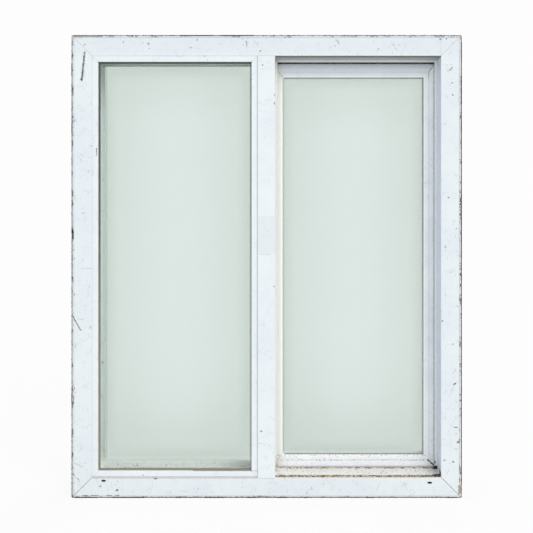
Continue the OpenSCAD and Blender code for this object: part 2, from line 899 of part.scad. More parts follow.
// Plate with half-round ends on the room face of the lock stile
module latch_base() {
    straight = latch_l - latch_w;
    color(bare_metal)
        difference() {
            from_front()
                translate([latch_x, base_d, latch_z]) {
                    translate([-latch_w / 2, 0, -straight / 2]) cube([latch_w, latch_t, straight]);
                    for (s = [-1, 1]) translate([0, 0, s * straight / 2]) bar_back(latch_w / 2, latch_t);
                }
            at_latch_screws() translate([0, -cut, 0])
                bar_back(latch_screw_r + screw_fit, latch_t + 2 * cut);
            from_front() translate([latch_x, base_d - cut, latch_z])
                bar_back(latch_pin_r + pin_fit, latch_t + 2 * cut);
        }
}

module latch_screws() {
    color(bare_metal) at_latch_screws() translate([0, latch_t, 0]) latch_screw(latch_t + sash_wall);
}

// Headed pin that the cam turns on
module latch_pin() {
    color(bare_metal)
        from_front()
            translate([latch_x, base_d, latch_z]) {
                bar_back(latch_pin_r, handle_d - base_d + soft_gap);
                translate([0, handle_d - base_d + soft_gap, 0]) bar_back(pin_head_r, screw_head_h);
            }
}

// The sector of a disc that the crescent keeps, turned up clear of the keeper at rest
module cam_sector() {
    far = 2 * cam_r;
    rotate(cam_open)
        polygon([[0, 0], [far * cos(cam_half), -far * sin(cam_half)], [far, -far],
            [far, far], [far * cos(cam_half), far * sin(cam_half)]]);
}

// Crescent cam: hub, sector plate, hooked rim and a handle that hangs down at rest
module latch_cam() {
    color(bare_metal)
        from_front()
            translate([latch_x, 0, latch_z])
                difference() {
                    union() {
                        translate([0, hub_d, 0]) bar_back(hub_r, handle_d - hub_d);
                        translate([0, handle_d, 0])
                            rotate([90, 0, 0])
                                linear_extrude(cam_t)
                                    intersection() {
                                        circle(cam_r);
                                        cam_sector();
                                    }
                        translate([0, cam_d, 0])
                            rotate([90, 0, 0])
                                linear_extrude(rim_h)
                                    difference() {
                                        intersection() {
                                            circle(cam_r);
                                            cam_sector();
                                        }
                                        circle(cam_r - rim_w);
                                    }
                        translate([-handle_w / 2, cam_d, -handle_l]) cube([handle_w, cam_t, handle_l]);
                        translate([-handle_w / 2, handle_d, -handle_l])
                            cube([handle_w, handle_t, handle_l / 2]);
                        translate([0, cam_d, -handle_l]) bar_back(handle_w / 2, cam_t + handle_t);
                    }
                    bar_back(latch_pin_r + pin_fit, 2 * frame_d);
                }
}

frame_head();
frame_sill();
frame_jamb_left();
frame_jamb_right();
frame_corner_keys();
mullion();
mullion_end_blocks();
mullion_screws();
mullion_interlock();
fixed_glass_outer();
fixed_spacer();
fixed_glass_inner();
fixed_bead_bottom();
fixed_bead_right();
fixed_bead_top();
fixed_bead_left();
fixed_gasket();
fixed_rear_tape();
fixed_stop();
fixed_setting_blocks();
head_pile();
sill_pile();
jamb_pile();
mullion_pile();
rear_pile();
sill_track();
head_guide();
close_pads();
open_stops();
latch_keeper();
keeper_screws();
sash_bottom_rail();
sash_stile_lock();
sash_top_rail();
sash_stile_meeting();
sash_corner_angles();
sash_glass_outer();
sash_spacer();
sash_glass_inner();
sash_bead_bottom();
sash_bead_right();
sash_bead_top();
sash_bead_left();
sash_gasket();
sash_rear_tape();
sash_setting_blocks();
sash_interlock();
sash_guides();
roller_housings();
roller_axles();
latch_base();
latch_pin();
latch_screws();
roller_wheel_left();
roller_wheel_right();
latch_cam();
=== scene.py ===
# %% [markdown]
# # An old painted slider window
# The object is a metal window, taken out of its wall: a fixed glass unit on the left and a sash on
# the right that slides behind it. Every bar, bead and pane already exists as a solid in the packed
# model, so this lesson dresses it: light, camera, finishes, and the small soft things such as brush
# seals and crumbs of dirt that solids don't show well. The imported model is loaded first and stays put.

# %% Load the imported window
import math
import random

import bmesh
import bpy
from mathutils import Matrix, Vector


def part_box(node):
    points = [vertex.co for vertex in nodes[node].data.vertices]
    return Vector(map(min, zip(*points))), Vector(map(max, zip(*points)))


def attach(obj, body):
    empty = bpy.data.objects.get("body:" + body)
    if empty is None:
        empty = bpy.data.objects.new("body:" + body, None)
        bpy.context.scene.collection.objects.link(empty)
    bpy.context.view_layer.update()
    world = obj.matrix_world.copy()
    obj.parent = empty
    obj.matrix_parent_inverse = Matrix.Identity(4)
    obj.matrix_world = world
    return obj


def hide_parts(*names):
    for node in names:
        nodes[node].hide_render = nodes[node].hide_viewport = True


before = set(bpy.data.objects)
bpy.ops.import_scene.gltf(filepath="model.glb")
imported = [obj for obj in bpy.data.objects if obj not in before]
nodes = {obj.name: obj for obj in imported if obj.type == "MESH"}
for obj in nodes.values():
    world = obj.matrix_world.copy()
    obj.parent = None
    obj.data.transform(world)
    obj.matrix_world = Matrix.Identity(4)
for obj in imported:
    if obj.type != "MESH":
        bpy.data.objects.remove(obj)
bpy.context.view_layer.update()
scene = bpy.context.scene
scene.view_settings.view_transform = "Standard"

# %% [markdown]
# ## The camera
# The picture was taken straight on, so upright bars stay upright. The eye wasn't in front of the
# middle, though: more of the left and lower reveals shows than of the others. Turning the camera
# would make the bars lean, so it keeps looking straight ahead, and its lens is shifted instead.

# %% Place the camera
IMAGE = 533
EYE = Vector((0.0538, -1.307, 0.6682))
EYE_PIXEL = (290, 208)
FOCAL_PIXELS = 550.3

camera_data = bpy.data.cameras.new("camera")
camera = bpy.data.objects.new("camera", camera_data)
scene.collection.objects.link(camera)
camera.location = EYE
camera.rotation_euler = (math.radians(90), 0, 0)
camera_data.sensor_width = 36
camera_data.lens = FOCAL_PIXELS * camera_data.sensor_width / IMAGE
camera_data.shift_x = 0.5 - EYE_PIXEL[0] / IMAGE
camera_data.shift_y = EYE_PIXEL[1] / IMAGE - 0.5
scene.camera = camera
shift = round(camera_data.shift_x, 4), round(camera_data.shift_y, 4)
print("lens mm:", round(camera_data.lens, 2), "shift:", shift)

# %% [markdown]
# ## Small tools for nodes
# A finish is a little network of nodes, and writing it link by link hides the idea. These helpers
# make a node and feed it numbers or other nodes. A plain number goes straight onto the socket.
# Lengths are in millimetres and colours as a screen shows them, and both are converted here.

# %% Units, colours and single nodes
MM = 0.001


def mm(x, y, z):
    return (x * MM, y * MM, z * MM)


def srgb(r, g, b):
    def linear(v):
        v /= 255
        return v / 12.92 if v <= 0.04045 else ((v + 0.055) / 1.055) ** 2.4

    return (linear(r), linear(g), linear(b), 1)


def feed(tree, socket, value):
    if isinstance(value, bpy.types.NodeSocket):
        tree.links.new(value, socket)
    elif value is not None:
        socket.default_value = value


def add(tree, kind, inputs=None, **settings):
    made = tree.nodes.new(kind)
    for name, value in settings.items():
        setattr(made, name, value)
    for key, value in (inputs or {}).items():
        feed(tree, made.inputs[key], value)
    return made


print("paint white is", [round(v, 3) for v in srgb(232, 239, 244)[:3]])

# %% [markdown]
# The next ones calculate with numbers, vectors and colours. Each hands back an output, so that a
# finish reads like a sum.

# %% Nodes that calculate
MIX_FACTOR, MIX_UNDER, MIX_OVER, MIX_RESULT = 0, 6, 7, 2


def sum_of(tree, operation, *values, clamp=False):
    made = add(tree, "ShaderNodeMath", operation=operation, use_clamp=clamp)
    for socket, value in zip(made.inputs, values):
        feed(tree, socket, value)
    return made.outputs[0]


def times(tree, a, b, clamp=False):
    return sum_of(tree, "MULTIPLY", a, b, clamp=clamp)


def plus(tree, a, b, clamp=False):
    return sum_of(tree, "ADD", a, b, clamp=clamp)


def minus(tree, a, b):
    return sum_of(tree, "SUBTRACT", a, b)


def vector_of(tree, operation, *values):
    made = add(tree, "ShaderNodeVectorMath", operation=operation)
    for socket, value in zip(made.inputs, values):
        feed(tree, socket, value)
    return made.outputs["Value" if operation in ("DOT_PRODUCT", "DISTANCE") else "Vector"]


def parts(tree, vector):
    return add(tree, "ShaderNodeSeparateXYZ", {0: vector}).outputs


def scaled(tree, vector, factor):
    made = add(tree, "ShaderNodeVectorMath", {0: vector, "Scale": factor}, operation="SCALE")
    return made.outputs["Vector"]


def room_inside(tree, place, middle, half):
    """How far inside a box a point lies, along each axis."""
    offset = vector_of(tree, "ABSOLUTE", vector_of(tree, "SUBTRACT", place, middle))
    return parts(tree, vector_of(tree, "SUBTRACT", half, offset))


def tint(tree, mask, under, over):
    made = add(tree, "ShaderNodeMix", data_type="RGBA")
    for index, value in ((MIX_FACTOR, mask), (MIX_UNDER, under), (MIX_OVER, over)):
        feed(tree, made.inputs[index], value)
    return made.outputs[MIX_RESULT]


def ramp(tree, value, low, high):
    return add(tree, "ShaderNodeMapRange", {"Value": value, "From Min": low, "From Max": high},
               interpolation_type="SMOOTHSTEP").outputs[0]


def noise(tree, position, scale, detail=2.0, rough=0.5):
    made = add(tree, "ShaderNodeTexNoise", {
        "Vector": position, "Scale": scale, "Detail": detail, "Roughness": rough})
    return made.outputs[0]


def stretch(tree, position, factors):
    return vector_of(tree, "MULTIPLY", position, factors)


print("a colour mix takes sockets", MIX_FACTOR, MIX_UNDER, "and", MIX_OVER)

# %% [markdown]
# A node group is to materials what a function is to a script: made once, used in many. The last
# helpers make a group, use one, and blend two shaders.

# %% Groups and shaders
def new_group(name, inputs, outputs):
    group = bpy.data.node_groups.new(name, "ShaderNodeTree")
    for way, sockets in (("INPUT", inputs), ("OUTPUT", outputs)):
        for label, kind in sockets:
            group.interface.new_socket(name=label, in_out=way, socket_type="NodeSocket" + kind)
    return group, group.nodes.new("NodeGroupInput").outputs, group.nodes.new("NodeGroupOutput").inputs


def use_group(tree, group, inputs):
    return add(tree, "ShaderNodeGroup", inputs, node_tree=group).outputs


def blend(tree, share, first, second):
    """Mix two shaders."""
    return add(tree, "ShaderNodeMixShader", {0: share, 1: first.outputs[0], 2: second.outputs[0]}).outputs[0]


print("groups so far:", len(bpy.data.node_groups))

# %% [markdown]
# ## Studio and floor
# A sky that is white to the camera but dimmer as a lamp keeps the background clean without bleaching
# the paint. A broad lamp high on the right gives the shading in the recess: its right and upper sides
# stay grey, its left and lower ones light. It is a sun lamp with a wide angle, so both ends of the
# window are equally bright. A weaker one behind keeps the room side readable.

# %% Sky and lamps
FILL = 0.69
KEY_LEVEL = 1.29
REAR_LEVEL = 0.8
WHITE = srgb(254, 253, 253)

world = bpy.data.worlds.new("studio")
scene.world = world
world.use_nodes = True
sky = world.node_tree
sky.nodes.clear()


def seen_rays(tree):
    rays = add(tree, "ShaderNodeLightPath").outputs
    seen = sum_of(tree, "MAXIMUM", rays["Is Camera Ray"], rays["Is Glossy Ray"])
    return sum_of(tree, "MAXIMUM", seen, rays["Is Transmission Ray"])


lamp_sky = add(sky, "ShaderNodeBackground", {"Color": (0.93, 0.965, 1, 1), "Strength": FILL})
white_sky = add(sky, "ShaderNodeBackground", {"Color": WHITE, "Strength": 1.0})
both_skies = blend(sky, seen_rays(sky), lamp_sky, white_sky)
add(sky, "ShaderNodeOutputWorld", {"Surface": both_skies})


def sun_lamp(name, towards, level, spread, color):
    data = bpy.data.lights.new(name, "SUN")
    data.energy = level
    data.angle = math.radians(spread)
    data.color = color
    lamp = bpy.data.objects.new(name, data)
    scene.collection.objects.link(lamp)
    lamp.rotation_euler = Vector(towards).to_track_quat("-Z", "Y").to_euler()
    lamp.visible_transmission = False
    lamp.visible_glossy = False


sun_lamp("key_lamp", (-1.5, 1.9, -2.0), KEY_LEVEL, 34, (1, 0.985, 0.95))
sun_lamp("rear_lamp", (-0.6, -1.6, -1.4), REAR_LEVEL, 60, (1, 1, 1))
print("sky fill:", FILL, "key lamp:", KEY_LEVEL, "rear lamp:", REAR_LEVEL)

# %% [markdown]
# The window leans on nothing and stands on a white floor. To the camera the floor glows nearly as
# white as the sky, so that only the window's soft shadow tells them apart.

# %% Floor
FLOOR_SIZE = 60
FLOOR_DROP = 0.0005
FLOOR_GLOW = 0.9

floor_finish = bpy.data.materials.new("floor_white")
floor_finish.use_nodes = True
tree = floor_finish.node_tree
tree.nodes.clear()
floor_cloud = noise(tree, add(tree, "ShaderNodeTexCoord").outputs["Object"], 3.0)
floor_color = tint(tree, floor_cloud, (0.9, 0.9, 0.9, 1), (0.94, 0.94, 0.94, 1))
floor_matte = add(tree, "ShaderNodeBsdfPrincipled", {"Base Color": floor_color, "Roughness": 0.9})
floor_glow = add(tree, "ShaderNodeEmission", {"Color": WHITE, "Strength": 1.0})
floor_share = times(tree, seen_rays(tree), FLOOR_GLOW)
floor_mix = blend(tree, floor_share, floor_matte, floor_glow)
add(tree, "ShaderNodeOutputMaterial", {"Surface": floor_mix})


def mesh_object(name, shape, material):
    mesh = bpy.data.meshes.new(name)
    shape.to_mesh(mesh)
    shape.free()
    mesh.materials.append(material)
    made = bpy.data.objects.new(name, mesh)
    scene.collection.objects.link(made)
    return made


shape = bmesh.new()
bmesh.ops.create_grid(shape, x_segments=2, y_segments=2, size=FLOOR_SIZE)
bmesh.ops.translate(shape, vec=(0, 0, -FLOOR_DROP), verts=shape.verts)
floor = mesh_object("floor", shape, floor_finish)
print("floor:", floor.name, "drop, m:", FLOOR_DROP)

# %% [markdown]
# ## Masks for wear
# Chips, scratches, dirt and joints are all "where" questions: how far is this point from a line, an
# edge or a box? Four node groups answer them from the object's own coordinates, so that a mark stays
# on its bar from every side. The first one measures how far in a point lies from a rectangle's edge.

# %% Group: distance in from a rectangle's edge
rim_group, taken, given = new_group(
    "rim_distance",
    [("Position", "Vector"), ("Middle", "Vector"), ("Half", "Vector")],
    [("Distance", "Float")])
tree = rim_group
room = room_inside(tree, taken["Position"], taken["Middle"], taken["Half"])
feed(tree, given["Distance"], sum_of(tree, "MINIMUM", room["X"], room["Z"]))
print("group:", rim_group.name)

# %% [markdown]
# A scratch is a short line on the front. The distance from a point to that line, roughened by noise,
# becomes a mask. With a radius the same sum draws a ring, like the rim of a shallow dent. Marks reach
# only a few millimetres deep, or the back of the bar would show them too.

# %% Group: scratch, joint or ring
MARK_DEPTH = 4 * MM
NEVER_ZERO = 1e-9

scratch_group, taken, given = new_group(
    "scratch",
    [("Position", "Vector"), ("Start", "Vector"), ("End", "Vector"), ("Width", "Float"),
     ("Ragged", "Float"), ("Radius", "Float"), ("Depth", "Float")],
    [("Mask", "Float")])
tree, place, width = scratch_group, taken["Position"], taken["Width"]
flat, start, end = [stretch(tree, point, (1, 0, 1)) for point in (place, taken["Start"], taken["End"])]
along = vector_of(tree, "SUBTRACT", end, start)
reach = vector_of(tree, "SUBTRACT", flat, start)
length_squared = plus(tree, vector_of(tree, "DOT_PRODUCT", along, along), NEVER_ZERO)
share = sum_of(tree, "DIVIDE", vector_of(tree, "DOT_PRODUCT", reach, along), length_squared, clamp=True)
nearest = vector_of(tree, "ADD", start, scaled(tree, along, share))
from_ring = minus(tree, vector_of(tree, "DISTANCE", flat, nearest), taken["Radius"])
wobble = times(tree, minus(tree, noise(tree, place, 420.0, 3.0), 0.5), taken["Ragged"])
away = plus(tree, sum_of(tree, "ABSOLUTE", from_ring), times(tree, wobble, width))
line = ramp(tree, away, times(tree, width, 0.5), times(tree, width, 0.2))
near = sum_of(tree, "COMPARE", parts(tree, place)["Y"], taken["Depth"], MARK_DEPTH)
feed(tree, given["Mask"], times(tree, line, near))
print("group:", scratch_group.name)

# %% [markdown]
# Dirt lies in patches: a band along a ledge, a stain at a joint, a bare corner. A box with ragged
# edges is enough for all of them, if its place is shaken by noise before it is measured.

# %% Group: ragged patch
patch_group, taken, given = new_group(
    "ragged_patch",
    [("Position", "Vector"), ("Middle", "Vector"), ("Half", "Vector"), ("Feather", "Float"),
     ("Ragged", "Float"), ("Grain", "Float")],
    [("Mask", "Float")])
tree, place = patch_group, taken["Position"]
cloud = add(tree, "ShaderNodeTexNoise", {"Vector": place, "Scale": taken["Grain"], "Detail": 3.0})
shake = vector_of(tree, "SUBTRACT", cloud.outputs["Color"], (0.5, 0.5, 0.5))
moved = vector_of(tree, "ADD", place, scaled(tree, shake, taken["Ragged"]))
room = room_inside(tree, moved, taken["Middle"], taken["Half"])
least = sum_of(tree, "MINIMUM", room["X"], sum_of(tree, "MINIMUM", room["Y"], room["Z"]))
feed(tree, given["Mask"], ramp(tree, least, 0.0, taken["Feather"]))
print("group:", patch_group.name)

# %% [markdown]
# Old paint is never one white. Broad clouds, small smudges, hair-fine cracks and brown specks sit on
# top of each other at their own sizes. One group mixes them over any paint colour, and says how much
# gloss and relief each point has.

# %% Group: weathered paint
weather_group, taken, given = new_group(
    "weathered_paint",
    [("Position", "Vector"), ("Paint", "Color"), ("Soil", "Float"), ("Specks", "Float")],
    [("Color", "Color"), ("Roughness", "Float"), ("Height", "Float")])
tree, place = weather_group, taken["Position"]
cloud = noise(tree, place, 14.0, 3.0)
smear = noise(tree, place, 90.0, 4.0, 0.65)
where = noise(tree, place, 30.0)
cloud_mask = times(tree, ramp(tree, cloud, 0.35, 0.7), 0.3)
color = tint(tree, cloud_mask, taken["Paint"], srgb(216, 223, 230))
smear_mask = times(tree, ramp(tree, smear, 0.55, 0.75), taken["Soil"])
color = tint(tree, smear_mask, color, srgb(204, 206, 206))

crack = sum_of(tree, "ABSOLUTE", minus(tree, noise(tree, place, 34.0, 3.0, 0.62), 0.5))
crack_line = add(tree, "ShaderNodeMapRange", {"Value": crack, "From Min": 0.007, "From Max": 0.001})
crack_mask = times(tree, crack_line.outputs[0], ramp(tree, where, 0.56, 0.66))
upright = noise(tree, stretch(tree, place, (1, 1, 0.12)), 260.0)
level = noise(tree, stretch(tree, place, (0.12, 1, 1)), 260.0)
hair = ramp(tree, sum_of(tree, "MAXIMUM", upright, level), 0.72, 0.76)
hair = times(tree, hair, ramp(tree, cloud, 0.44, 0.6))
crack_mask = times(tree, sum_of(tree, "MAXIMUM", crack_mask, hair), taken["Soil"], clamp=True)
color = tint(tree, crack_mask, color, srgb(136, 126, 116))

grit = ramp(tree, noise(tree, place, 620.0), 0.68, 0.73)
grit_mask = times(tree, grit, ramp(tree, where, 0.42, 0.62))
flake = ramp(tree, noise(tree, place, 125.0, 4.0, 0.7), 0.665, 0.685)
flake_mask = times(tree, flake, ramp(tree, where, 0.45, 0.56))
speck_mask = sum_of(tree, "MAXIMUM", grit_mask, flake_mask)
speck_mask = times(tree, speck_mask, taken["Specks"], clamp=True)
color = tint(tree, speck_mask, color, srgb(66, 53, 43))

feed(tree, given["Color"], color)
feed(tree, given["Roughness"], plus(tree, times(tree, cloud, 0.2), 0.38))
hollows = plus(tree, crack_mask, speck_mask)
feed(tree, given["Height"], minus(tree, times(tree, smear, 0.3), hollows))
print("group:", weather_group.name)

# %% [markdown]
# ## White paint
# Each bar of the frame was painted white over a brown finish. A paint starts from the weathered
# group, then its own marks are laid over it in order, each as a mask and a colour. The brown shows
# along the outer edge, where the window was prised out and handled.

# %% Paint builder
FRONT = -40
BROWN = srgb(88, 70, 56)
DIRT = srgb(158, 143, 122)
GREY = srgb(150, 154, 156)
PATCH_GRAIN = 180.0
GRAIN_FADE = 0.07


class Finish:
    """One material: it starts with object coordinates and collects colour layers before it is closed."""

    def __init__(self, name):
        self.material = bpy.data.materials.new(name)
        self.material.use_nodes = True
        self.tree = self.material.node_tree
        self.tree.nodes.clear()
        self.place = add(self.tree, "ShaderNodeTexCoord").outputs["Object"]
        self.color = self.rough = self.height = None

    def paint(self, color, soil, specks):
        made = use_group(self.tree, weather_group, {
            "Position": self.place, "Paint": color, "Soil": soil, "Specks": specks})
        self.color, self.rough, self.height = made["Color"], made["Roughness"], made["Height"]

    def lay(self, mask, color, strength=1.0):
        if strength != 1.0:
            mask = times(self.tree, mask, strength)
        self.color = tint(self.tree, mask, self.color, color)

    def scratch(self, start, end, width, color, strength, ragged=1.5, radius=0.0, depth=FRONT):
        made = use_group(self.tree, scratch_group, {
            "Position": self.place, "Start": mm(start[0], 0, start[1]), "End": mm(end[0], 0, end[1]),
            "Width": width * MM, "Ragged": ragged, "Radius": radius * MM, "Depth": depth * MM})
        self.lay(made["Mask"], color, strength)

    def box_mask(self, low, high, feather, ragged, grain):
        middle = mm(*[(a + b) / 2 for a, b in zip(low, high)])
        half = mm(*[(b - a) / 2 for a, b in zip(low, high)])
        made = use_group(self.tree, patch_group, {
            "Position": self.place, "Middle": middle, "Half": half, "Feather": feather * MM,
            "Ragged": ragged * MM, "Grain": grain})
        return made["Mask"]

    def patch(self, low, high, feather, ragged, color, strength, grain=PATCH_GRAIN):
        self.lay(self.box_mask(low, high, feather, ragged, grain), color, strength)

    def speckle(self, low, high, color, strength, scale=420.0, level=0.58):
        """Grains of dirt inside a box."""
        inside = self.box_mask(low, high, 1.5, 4, PATCH_GRAIN)
        grains = ramp(self.tree, noise(self.tree, self.place, scale), level, level + GRAIN_FADE)
        self.lay(times(self.tree, inside, grains), color, strength)

    def rim(self, middle, half):
        made = use_group(self.tree, rim_group, {
            "Position": self.place, "Middle": mm(*middle), "Half": mm(*half)})
        return made["Distance"]

    def close(self, bump=0.15, specular=0.3, metallic=0.0, relief=0.6):
        """Join colour, gloss and relief, whose depth is in mm, and hand back the material."""
        bumps = add(self.tree, "ShaderNodeBump", {
            "Strength": bump, "Distance": relief * MM, "Height": self.height})
        shader = add(self.tree, "ShaderNodeBsdfPrincipled", {
            "Base Color": self.color, "Roughness": self.rough, "Metallic": metallic,
            "Specular IOR Level": specular, "Normal": bumps.outputs[0]})
        add(self.tree, "ShaderNodeOutputMaterial", {"Surface": shader.outputs[0]})
        return self.material


def dress(material, *names):
    for name in names:
        piece = nodes[name].data
        piece.materials.clear()
        piece.materials.append(material)


def node_box(name):
    low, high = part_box(name)
    return [v / MM for v in low], [v / MM for v in high]


print("paint builder ready")

# %% [markdown]
# ## The worn frame
# Along the outer edge, where the window was prised out, white paint gives way to brown. How far in a point
# lies from that edge decides almost everything: a dark line at the very rim, chips that eat a few
# millimetres inwards, and behind them a faintly greyer border and a grey line at the groove, both painted
# shade. The outer sides never were painted.

# %% Worn edge, bare sides, dark cavities
FRAME_MIDDLE = (0, 0, 533.5)
FRAME_HALF = (450, 1, 533.5)
FRAME_WHITE = srgb(231, 236, 239)


def worn_edge(finish):
    """Lay the painted shade of the border and groove, the chips and the dark rim; hand back the distance in
    from the outer edge.
    """
    tree = finish.tree
    edge = finish.rim(FRAME_MIDDLE, FRAME_HALF)
    coarse = noise(tree, finish.place, 60.0, 4.0, 0.7)
    fine = minus(tree, noise(tree, finish.place, 240.0, 3.0, 0.6), 0.5)
    from_groove = sum_of(tree, "ABSOLUTE", minus(tree, edge, 6.2 * MM))
    # painted shade: a faintly greyer border and a grey line at the groove
    finish.lay(ramp(tree, edge, 6.8 * MM, 6 * MM), srgb(222, 226, 228), 0.35)
    finish.lay(ramp(tree, from_groove, 1.5 * MM, 0.4 * MM), srgb(152, 154, 154), 0.6)
    chip_level = minus(tree, coarse, times(tree, edge, 20.0))
    chip_level = plus(tree, chip_level, times(tree, fine, 0.35))
    chip_reach = ramp(tree, edge, 7.2 * MM, 5.2 * MM)
    chips = times(tree, ramp(tree, chip_level, 0.49, 0.54), chip_reach)
    finish.lay(chips, srgb(74, 60, 50), 0.85)
    finish.patch((-446, -60, 2.6), (446, -20, 10), 1.2, 1, FRAME_WHITE, 0.7)
    finish.patch((-447.2, -60, 20), (-441, -20, 1040), 1.2, 2, FRAME_WHITE, 0.5, 70.0)
    torn = plus(tree, edge, times(tree, fine, 2.4 * MM))
    rim_tone = tint(tree, ramp(tree, coarse, 0.42, 0.56), srgb(156, 153, 150), srgb(42, 36, 32))
    finish.lay(ramp(tree, torn, 2.7 * MM, 1.8 * MM), rim_tone, 0.9)
    return edge


def depth_of(finish):
    return parts(finish.tree, finish.place)["Y"]


def bare_sides(finish, edge):
    """Behind the front edge the outer sides keep their old brown."""
    tree = finish.tree
    behind = ramp(tree, depth_of(finish), -37 * MM, -33 * MM)
    mask = times(tree, ramp(tree, edge, 0.6 * MM, 0.2 * MM), behind)
    cloud = ramp(tree, noise(tree, finish.place, 11.0, 4.0), 0.35, 0.65)
    finish.lay(mask, tint(tree, cloud, srgb(126, 115, 105), srgb(104, 94, 86)))


def painted_cavity_shade(finish, edge):
    """A hollow bar is unpainted inside; its inside is painted near black as painted shade, so that a slot in
    its front looks black.
    """
    tree = finish.tree
    depth = depth_of(finish)
    mask = ramp(tree, edge, 1.2 * MM, 1.8 * MM)
    for value, outside, inside in ((edge, 46.8, 46.2), (depth, -38.9, -38.4), (depth, -1.2, -1.8)):
        mask = times(tree, mask, ramp(tree, value, outside * MM, inside * MM))
    # painted shade: near black inside the hollow
    finish.lay(mask, srgb(38, 34, 30))


print("frame edge, mm:", FRAME_HALF[0] * 2, "x", FRAME_HALF[2] * 2)

# %% [markdown]
# The rest are single marks, and there are dozens. Each lies on one bar or two, so one paint with all
# of them would be slow, and longer than the renderer allows. They are only noted here, in the order
# in which they lie on each other. Later each bar takes the marks that touch it.

# %% A list for marks
frame_marks = []


def note_scratch(start, end, width, color, strength, ragged=1.5, radius=0.0):
    low = [min(a, b) - radius for a, b in zip(start, end)]
    high = [max(a, b) + radius for a, b in zip(start, end)]
    box = (low[0], FRONT, low[1]), (high[0], FRONT, high[1])
    frame_marks.append((box, Finish.scratch, (start, end, width, color, strength, ragged, radius)))


def note_patch(low, high, *settings):
    frame_marks.append(((low, high), Finish.patch, (low, high, *settings)))


def note_speckle(low, high, *settings):
    frame_marks.append(((low, high), Finish.speckle, (low, high, *settings)))


print("marks so far:", len(frame_marks))

# %% [markdown]
# The first marks follow the outer edge. The lower edge and the right one are nearly black, and all
# four have brown specks. A joint runs across each corner, and one more crosses the head at the right.

# %% Edge and joints
note_patch((447.5, -70, 30), (456, 80, 1062), 0.6, 1.6, srgb(30, 25, 22), 0.95, 70.0)
note_patch((-446, -70, -6), (446, 80, 1.9), 0.5, 1.2, srgb(34, 30, 28), 0.85, 90.0)
for low, high, tone in (
        ((-452, -70, 20), (-443.5, 80, 1040), srgb(86, 68, 54)),
        ((444.5, -70, 30), (452, 80, 1040), srgb(76, 62, 52)),
        ((-446, -70, 1062), (446, 80, 1069), srgb(100, 82, 66)),
        ((-446, -70, -1), (446, 80, 5), srgb(88, 76, 66))):
    note_speckle(low, high, tone, 0.75, 150.0, 0.6)

CHIP = 2.4, srgb(66, 53, 44), 0.85, 2.0
for x, high, low in (
        (-444.7, 880, 878), (-442.6, 873, 868), (-444.7, 573, 571), (-442.6, 553, 551), (-444.7, 500, 498),
        (-442.6, 472, 468), (-442.6, 254, 251), (-444.7, 235, 217), (-444.7, 58, 53), (446.2, 689, 684),
        (446.2, 516, 512), (446.2, 495, 489), (446.2, 426, 424), (444.3, 355, 350), (444.3, 159, 155),
        (444.3, 136, 129), (444.3, 76, 63), (444.3, 47, 37)):
    note_scratch((x, high), (x, low), *CHIP)
note_scratch((-444.7, 419), (-442.4, 409), *CHIP)
for z, left, right in (
        (1062.8, 277, 284), (6.2, -425, -411), (6.2, -404, -386), (6.2, -368, -356), (6.2, -349, -340),
        (4.2, -31, -25), (4.2, -22, 3)):
    note_scratch((left, z), (right, z), *CHIP)

for side in (-1, 1):
    for corner, inner, strength in ((0, 48, 1.0), (1067, 1019, 0.55)):
        note_scratch((side * 450, corner), (side * 402, inner), 1.7, srgb(128, 130, 130), strength, 0.6)
note_scratch((401.4, 1020), (401.4, 1062), 1.6, GREY, 0.35, 0.8)
print("marks so far:", len(frame_marks))

# %% [markdown]
# Then the front: one long dark scratch at the upper left, smudges made of fine specks, short hairline
# scratches, the round rim of a dent, and single specks where the brown came through.

# %% Front face
note_scratch((-419, 1027), (-426, 963), 4.6, srgb(44, 38, 34), 1.0, 3.0)
for low, high, tone in (
        ((-58, 1034), (-36, 1062), 90), ((-36, 1032), (-10, 1060), 120), ((146, 1036), (176, 1062), 96),
        ((280, 1022), (310, 1052), 100), ((412, 976), (434, 1002), 80), ((-447, 60), (-412, 98), 110),
        ((-448, 28), (-420, 60), 110), ((-390, 14), (-330, 42), 120), ((418, 70), (442, 180), 120)):
    box = (low[0], -60, low[1]), (high[0], -20, high[1])
    note_speckle(*box, srgb(tone, tone * 0.86, tone * 0.76), 0.7, 220.0, 0.64)

for start, end, width, tone, strength, ragged in (
        ((-47, 1053), (-45.5, 1042), 3.4, (92, 80, 70), 0.85, 3.0),
        ((160, 1056), (166, 1046), 3.0, (110, 96, 84), 0.7, 3.5),
        ((422, 986), (428, 992), 3.0, (84, 72, 62), 0.85, 3.0),
        ((-30, 1056), (-18, 1037), 2.0, (176, 160, 148), 0.5, 3.0),
        ((289, 1046), (301, 1030), 1.8, (130, 120, 112), 0.5, 3.0),
        ((-441, 80), (-421, 71), 1.6, (150, 130, 114), 0.6, 2.5),
        ((-446, 57), (-430, 38), 1.6, (150, 130, 114), 0.6, 2.5),
        ((260, 34), (253, 18), 1.6, (176, 160, 148), 0.5, 1.0),
        ((420, 1062), (432, 1062), 3.0, (88, 70, 56), 0.85, 2.0),
        ((440, 163), (430, 164), 3.0, (70, 58, 48), 0.8, 2.5),
        ((420, 66), (415, 56), 1.6, (150, 140, 130), 0.6, 1.5),
        ((-447, 420), (-428.5, 387), 2.6, (64, 50, 40), 0.95, 1.2),
        ((-395, 378), (-421, 362), 1.2, (160, 154, 148), 0.6, 1.0),
        ((-446, 617), (-446, 598), 5.0, (24, 20, 17), 1.0, 1.0),
        ((437, 300), (428, 285), 1.2, (150, 140, 132), 0.6, 1.5),
        ((441, 271), (424, 246), 1.1, (150, 140, 132), 0.6, 1.5),
        ((434, 252), (421, 238), 1.0, (150, 140, 132), 0.5, 1.5),
        ((411, 478), (411, 462), 1.2, (160, 152, 146), 0.5, 2.0)):
    note_scratch(start, end, width, srgb(*tone), strength, ragged)
note_scratch((335, 14), (335, 14), 1.5, GREY, 0.4, 0.5, radius=5.5)

